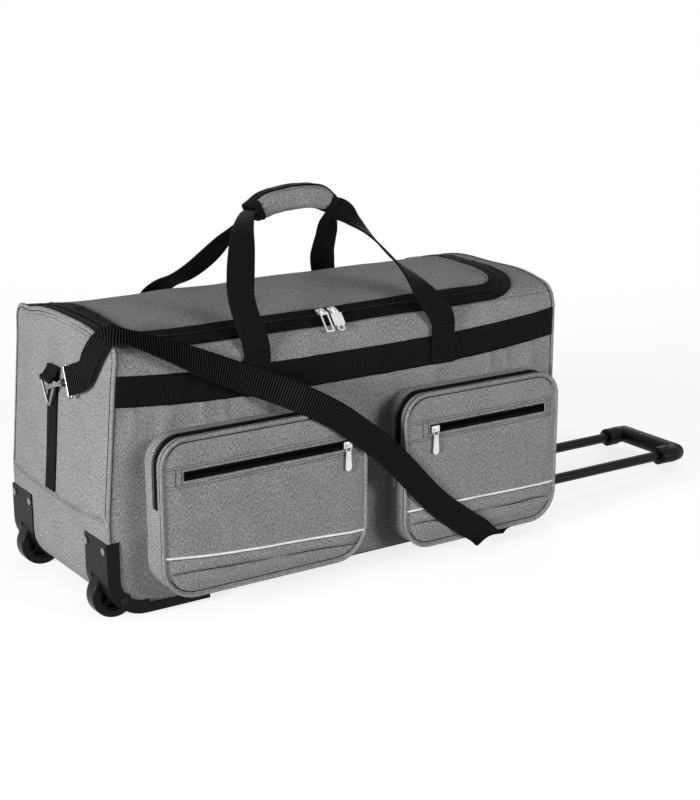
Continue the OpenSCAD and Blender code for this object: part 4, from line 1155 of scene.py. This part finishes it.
LEGS_BACK = [
    (-141, 151, 328.6, 1, 0, 0, FLAT), (-140, 151.5, 340, 1, 0, 0, FLAT),
    (-134, 149, 354, 1, 0.02, -0.05, FLAT), (-121, 137, 368, 1, 0.05, -0.2, 39),
    (-107, 115, 380, 1, 0.05, -0.25, 38), (-95, 92, 397, 1, 0.05, -0.25, 38),
    (-83, 69, 419, 1, 0.08, -0.25, 37), (-73, 47, 443, 0.9, 0.35, -0.2, 35),
    (-65, 27, 466, 0.6, 0.75, -0.1, 30), (-56, 12, 486, 0.2, 1, 0, 26), (-40, 5, 497, 0, 1, 0, 23),
    (-20, 4, 500, 0, 1, 0, 22), (20, 4, 500, 0, 1, 0, 22), (50, 5, 497, 0, 1, 0, 23),
    (74, 14, 482, 0.5, 0.8, 0, 27), (86, 34, 458, 0.9, 0.4, 0, 34), (103, 62, 432, 1, 0.15, 0, 37),
    (117, 90, 410, 1, 0.05, 0, 38), (133, 120, 388, 1, 0, 0, 39), (148, 142, 366, 1, 0, 0, FLAT),
    (156, 151, 345, 1, 0, 0, FLAT), (157, 151, 328.6, 1, 0, 0, FLAT),
]
for name, legs, body, node in (("front_loop", LEGS_FRONT, "front_carry_handle", "front_handle"),
                               ("back_loop", LEGS_BACK, "back_carry_handle", "back_handle")):
    add(name, ribbon(legs, HANDLE_T, bow=0.5),
        WEBBING, body=body, replaces=[node])

# Sewn-down ends of the carry handles with a crossed box of stitches
anchors, threads = [], []
for x in (-141, 157):
    for side in (-1, 1):
        y = side * (HALF_D + 4.3)
        low = droop(x)
        route = [(x, y, z, 1, 0, 0, FLAT) for z in span(BAND_Z0 - 0.5 - low, BAND_Z1 + 0.4, 11)]
        anchors.append(ribbon(route, HANDLE_T))
        x0, x1, z0, z1 = x - 16, x + 16, BAND_Z0 + 4 - low, BAND_Z1 - 4 - low
        for a, b in (((x0, z0), (x1, z0)), ((x1, z0), (x1, z1)), ((x1, z1), (x0, z1)),
                     ((x0, z1), (x0, z0)), ((x0, z0), (x1, z1)), ((x0, z1), (x1, z0))):
            n = 10
            path = [(a[0] + (b[0] - a[0]) * i / n, y + side * 1.35, a[1] + (b[1] - a[1]) * i / n)
                    for i in range(n + 1)]
            threads.append(stitch_line(path, (0, side, 0), 3.0, 2.2, 0.35))
add("handle_ends", join(anchors), WEBBING, replaces=["handle_anchors"])
add("handle_stitches_and_shadows", join(threads), THREAD_BLACK)

# Padded wrap that joins the handles, arched, with bound edges
WRAP_PATH = spline([(-59, 0, 482.5), (-46, 0, 488), (-25, 0, 494), (5, 0, 497.5),
                    (35, 0, 497), (55, 0, 491.5), (68, 0, 482)], 8)


def wrap_section(t, swell=0.0, full=1.0):
    """Rounded section of the wrap with t from 0 to 1 round it, starting at the front."""
    a = 2 * PI * t
    c, q = math.cos(a), math.sin(a)
    k = (abs(c) ** 3.2 + abs(q) ** 3.2) ** (-1 / 3.2)
    return -(19 + swell) * k * c, ((10.5 + 5.5 * full) + swell) * k * q


def wrap_fn(i, t, off=0.0):
    """Point of the padded wrap at station i and t round it."""
    i = int(i)
    p = np.array(WRAP_PATH[i])
    a = unit(np.array(WRAP_PATH[min(i + 1, len(WRAP_PATH) - 1)]) - np.array(WRAP_PATH[max(i - 1, 0)]))
    up = np.cross(a, (0, 1, 0)) * -1
    up = unit(up if up[2] > 0 else -up)
    end = min(i, len(WRAP_PATH) - 1 - i) / 6
    pad = 1.1 * wobble((p[0], 40 * math.cos(2 * PI * t), 40 * math.sin(2 * PI * t)), 17, 6.6)
    # Rows of quilting along the wrap
    quilt = -1.0 * max(hill(t - q, 0.012) for q in (0.07, 0.16, 0.88, 0.36, 0.62))
    y, z = wrap_section(t, off + (pad + quilt) * ease(0, 1, end), ease(-0.2, 2.2, end))
    return tuple(p + np.array((0, y, 0)) + up * z)


stations = list(range(len(WRAP_PATH)))
wrap = add("wrap", grid(wrap_fn, stations[1:-1], steps(72), 3.5),
           GREY, body="front_carry_handle", replaces=["grip_wrap"])
parts = []
for lo_i, hi_i in ((0, 6), (len(WRAP_PATH) - 7, len(WRAP_PATH) - 1)):
    parts.append(grid(lambda i, q: wrap_fn(i, q, 1.8), list(range(lo_i, hi_i + 1)),
                      steps(48), 7.0))
parts.append(grid(lambda i, q: wrap_fn(i, q, 2.0), stations,
                  [0.19 + 0.13 * k / 8 for k in range(9)], 3.0))
add("wrap_binding", join(parts), WEBBING, body="front_carry_handle")

# -------- ends' webbing and strap

ring_lo, ring_hi = mm_box("left_ring")
RING_Y = (ring_lo.y + ring_hi.y) / 2
RING_Z = ring_hi.z - 2.1
RING_LEFT = (ring_lo.x + ring_hi.x) / 2
ring_lo, ring_hi = mm_box("right_ring")
RING_RIGHT = (ring_lo.x + ring_hi.x) / 2
END_STRAP_T = 2.3
parts = []
for side, ring_x in ((-1, RING_LEFT), (1, RING_RIGHT)):
    def on_end(z, off):
        return end_point(side, RING_Y + 4, z, off)
    route = [(*on_end(z, 1.6), 0, 1, 0, 30) for z in (138, 160, 190, 220, 250, 275, 303)]
    parts.append(ribbon(route, END_STRAP_T))
    loop = [(on_end(307, 4.2)[0], 307), (on_end(302, 5.6)[0], 302),
            ((on_end(298, 5)[0] + ring_x) / 2, 297.2), (ring_x, RING_Z + 3.5),
            (ring_x + side * 2.5, RING_Z + 2.4), (ring_x + side * 3.5, RING_Z),
            (ring_x + side * 2.5, RING_Z - 2.4), (ring_x, RING_Z - 3.5),
            ((on_end(284, 4)[0] + ring_x) / 2, 285.2), (on_end(281, 4.4)[0], 281)]
    route = [(x, RING_Y, z, 0, 1, 0, 35) for x, z in loop]
    parts.append(ribbon(route, END_STRAP_T, pitch=1.0, depth=0.1, scallop=0.0))
add("end_straps", join(parts), WEBBING, replaces=["end_webbing"])

STRAP_W, STRAP_T = 38, 2.3
LEFT_HOOK = np.array((RING_LEFT, -37.5, 296.5))
LEFT_DIR = np.array((0, math.cos(math.radians(-20)), math.sin(math.radians(-20))))
LEFT_ACROSS = (0, LEFT_DIR[2], -LEFT_DIR[1])
RIGHT_HOOK = np.array((RING_RIGHT, RING_Y, mm_box("right_hook")[1].z - 49.4))

# Path of the strap round a bail, from its sewn tail: (along the hook, across)
TAIL = [(-24, -1.4), (-17, -1.4), (-11, -1.5), (-6.5, -2.1), (-3, -2.8)]
BAIL_TURN = [(x - 18, y) for x, y in TAIL]
BAIL_TURN += [(3.0 * math.cos(math.radians(a)) - 18, 3.0 * math.sin(math.radians(a)))
              for a in range(-90, 91, 30)]
BAIL_TURN += [(x - 18, -y) for x, y in reversed(TAIL)]

STRAP_ROUTE = [(*(LEFT_HOOK + u * LEFT_DIR + np.array((-w, 0, 0))), *LEFT_ACROSS)
               for u, w in BAIL_TURN]
STRAP_ROUTE += [
    (-356, -90, 319, 0, -0.62, -0.78), (-356, -104, 337, 0, -0.78, -0.62),
    (-352, -118, 357, -0.03, -0.86, -0.5), (-343, -131, 371, -0.06, -0.9, -0.4),
    (-329, -141, 374, -0.1, -0.92, -0.37), (-304, -149, 365, -0.17, -0.87, -0.46),
    (-266, -155, 348, -0.28, -0.72, -0.62), (-228, -158, 330, -0.34, -0.5, -0.8),
    (-161, -159, 298, -0.4, -0.2, -0.9), (-122, -171, 281, -0.45, -0.1, -0.89),
    (-92, -191, 266, -0.5, 0, -0.86), (-66, -198, 251, -0.53, 0, -0.85),
    (-40, -198.5, 234, -0.55, 0, -0.83), (0, -198.5, 203, -0.6, 0, -0.8),
    (43, -198, 166, -0.65, 0, -0.76), (109, -198, 96, -0.72, 0, -0.69),
    (155, -198, 58, -0.68, 0, -0.73), (188, -198, 35, -0.6, 0, -0.8),
    (206, -194.5, 20, -0.55, 0.35, -0.7), (222, -184, 17, -0.6, 0.75, -0.2),
    (244, -162, 13, -0.6, 0.8, 0), (266, -142, 7, -0.6, 0.8, 0), (312, -122, 5, -0.3, 0.95, 0),
    (354, -118, 5, 0, 1, 0), (369, -116, 16, 0, 1, 0), (RING_RIGHT, -108, 40, 0, 1, 0.1),
    (RING_RIGHT, -60, 100, 0, 0.747, -0.665), (RING_RIGHT, -22, 134, 0, 0.75, -0.6),
    (RING_RIGHT, 4, 158, 0, 0.9, -0.3),
]
STRAP_ROUTE += [(*(RIGHT_HOOK + np.array((w, 0, u))), 0, 1, 0) for u, w in reversed(BAIL_TURN)]
route = [(*row, STRAP_W) for row in STRAP_ROUTE]
strap = ribbon(route, STRAP_T, pitch=0.9, rib=3.6, depth=0.26, scallop=0.45, n=10)
add("strap", strap, STRAP, replaces=["shoulder_strap"])

# -------- trolley grip's elbows

grip_lo, grip_hi = mm_box("trolley_grip")


def elbow(side):
    """Thick moulded corner of the grip, swept round the bend."""
    z = (grip_lo.z + grip_hi.z) / 2
    y = grip_hi.y if side > 0 else grip_lo.y
    pts = spline([(grip_hi.x - 54.6, y - side * 8.5, z), (grip_hi.x - 40, y - side * 8.5, z),
                  (grip_hi.x - 22, y - side * 10, z), (grip_hi.x - 12, y - side * 19, z),
                  (grip_hi.x - 10, y - side * 34, z), (grip_hi.x - 10, y - side * 46, z)], 6)
    n = len(pts) - 1
    rings = []
    for i in range(n + 1):
        k = math.sin(PI * i / n) ** 0.5 if 0 < i < n else 0.0
        rings.append(circle(10.2 + 3.6 * k, 16, 0.95))
    return sweep(pts, rings)


add("grip_elbows", join([elbow(-1), elbow(1)]), PLASTIC, body="trolley")

# -------- camera, light, floor

# Camera fitted to the photo, 1670 px focal length in a picture 800 px high
CAMERA_AT = (-1197, -1950, 852)
CAMERA_DIR = Vector((0.534, 0.801, -0.271))
SENSOR = 36
FOCAL = 1670 / 800 * SENSOR

cam = bpy.data.objects.new("camera", bpy.data.cameras.new("camera"))
cam.data.lens = FOCAL
cam.data.sensor_width = SENSOR
cam.data.clip_end = 100
cam.location = place(CAMERA_AT)
cam.rotation_euler = CAMERA_DIR.to_track_quat("-Z", "Y").to_euler()
bpy.context.scene.collection.objects.link(cam)
bpy.context.scene.camera = cam


def lamp(name, at, target, size, power):
    """Rectangular lamp at a point, turned to a target."""
    data = bpy.data.lights.new(name, "AREA")
    data.shape = "RECTANGLE"
    data.size, data.size_y = size
    data.energy = power
    obj = bpy.data.objects.new(name, data)
    obj.location = at
    obj.rotation_euler = (Vector(target) - Vector(at)).to_track_quat("-Z", "Y").to_euler()
    bpy.context.scene.collection.objects.link(obj)


lamp("key", (-3.5, -1.0, 0.75), (-0.2, 0, 0.2), (0.9, 0.9), 122)
lamp("front", (1.5, -3.3, 0.85), (0, 0, 0.2), (1.2, 1.0), 62)
lamp("top", (0.2, -0.4, 2.8), (0, 0, 0.2), (1.6, 1.2), 3)
lamp("rim", (1.6, 2.4, 1.4), (0, 0, 0.2), (1.4, 1.0), 14)

def background_rays(m):
    """1 for rays from the camera, a mirror or glass, which see a white studio."""
    path = m.new("ShaderNodeLightPath")
    mirrored = m.math("MAXIMUM", path.outputs["Is Camera Ray"], path.outputs["Is Glossy Ray"])
    return m.math("MAXIMUM", mirrored, path.outputs["Is Transmission Ray"])


def mixed(m, fac, a, b, output=None):
    """Mixes two shaders, and shows the mix where output is given."""
    node = m.new("ShaderNodeMixShader")
    for socket, value in zip(node.inputs, (fac, a.outputs[0], b.outputs[0])):
        m.link(value, socket)
    if output:
        m.link(node.outputs[0], m.tree.nodes[output].inputs["Surface"])
    return node


world = bpy.data.worlds.new("studio")
bpy.context.scene.world = world
m = Nodes(world)
dim = m.tree.nodes["Background"]
dim.inputs["Strength"].default_value = 0.13
dim.inputs["Color"].default_value = (1, 1, 1, 1)
seen = m.new("ShaderNodeBackground", Strength=1.0, Color=(1, 1, 1, 1))
mixed(m, background_rays(m), dim, seen, "World Output")

# Floor: a pale disc that takes the shadow and fades into the white beyond
RINGS, SPOKES, FLOOR_Z = 24, 96, -0.0005
verts = []
for i in range(RINGS):
    r = 0.05 + 5.0 * (i / (RINGS - 1)) ** 1.5
    verts += [(x, y, FLOOR_Z) for x, y in circle(r, SPOKES)]
faces = [(i * SPOKES + k, i * SPOKES + (k + 1) % SPOKES, (i + 1) * SPOKES + (k + 1) % SPOKES,
          (i + 1) * SPOKES + k) for i in range(RINGS - 1) for k in range(SPOKES)]
faces.append(tuple(range(SPOKES)))
floor_mesh = bpy.data.meshes.new("floor")
floor_mesh.from_pydata(verts, [], faces)
floor = bpy.data.objects.new("floor", floor_mesh)
bpy.context.scene.collection.objects.link(floor)
m = Nodes(bpy.data.materials.new("floor_white"))
floor_mesh.materials.append(m.mat)
m.tree.nodes.remove(m.shader)
diffuse = m.new("ShaderNodeBsdfDiffuse", Color=(0.45, 0.45, 0.45, 1))
glow = m.new("ShaderNodeEmission", Strength=0.78)
white = m.new("ShaderNodeEmission", Strength=1.0)
both = m.new("ShaderNodeAddShader")
m.link(diffuse.outputs[0], both.inputs[0])
m.link(glow.outputs[0], both.inputs[1])
geo = m.new("ShaderNodeNewGeometry")
far = m.new("ShaderNodeVectorMath", operation="LENGTH")
m.link(geo.outputs["Position"], far.inputs[0])
fade = m.new("ShaderNodeMapRange", From_Min=0.9, From_Max=2.2)
m.link(far.outputs["Value"], fade.inputs["Value"])
blend = mixed(m, fade.outputs["Result"], both, white)
mixed(m, background_rays(m), diffuse, blend, "Material Output")

bpy.context.scene.view_settings.view_transform = "Standard"
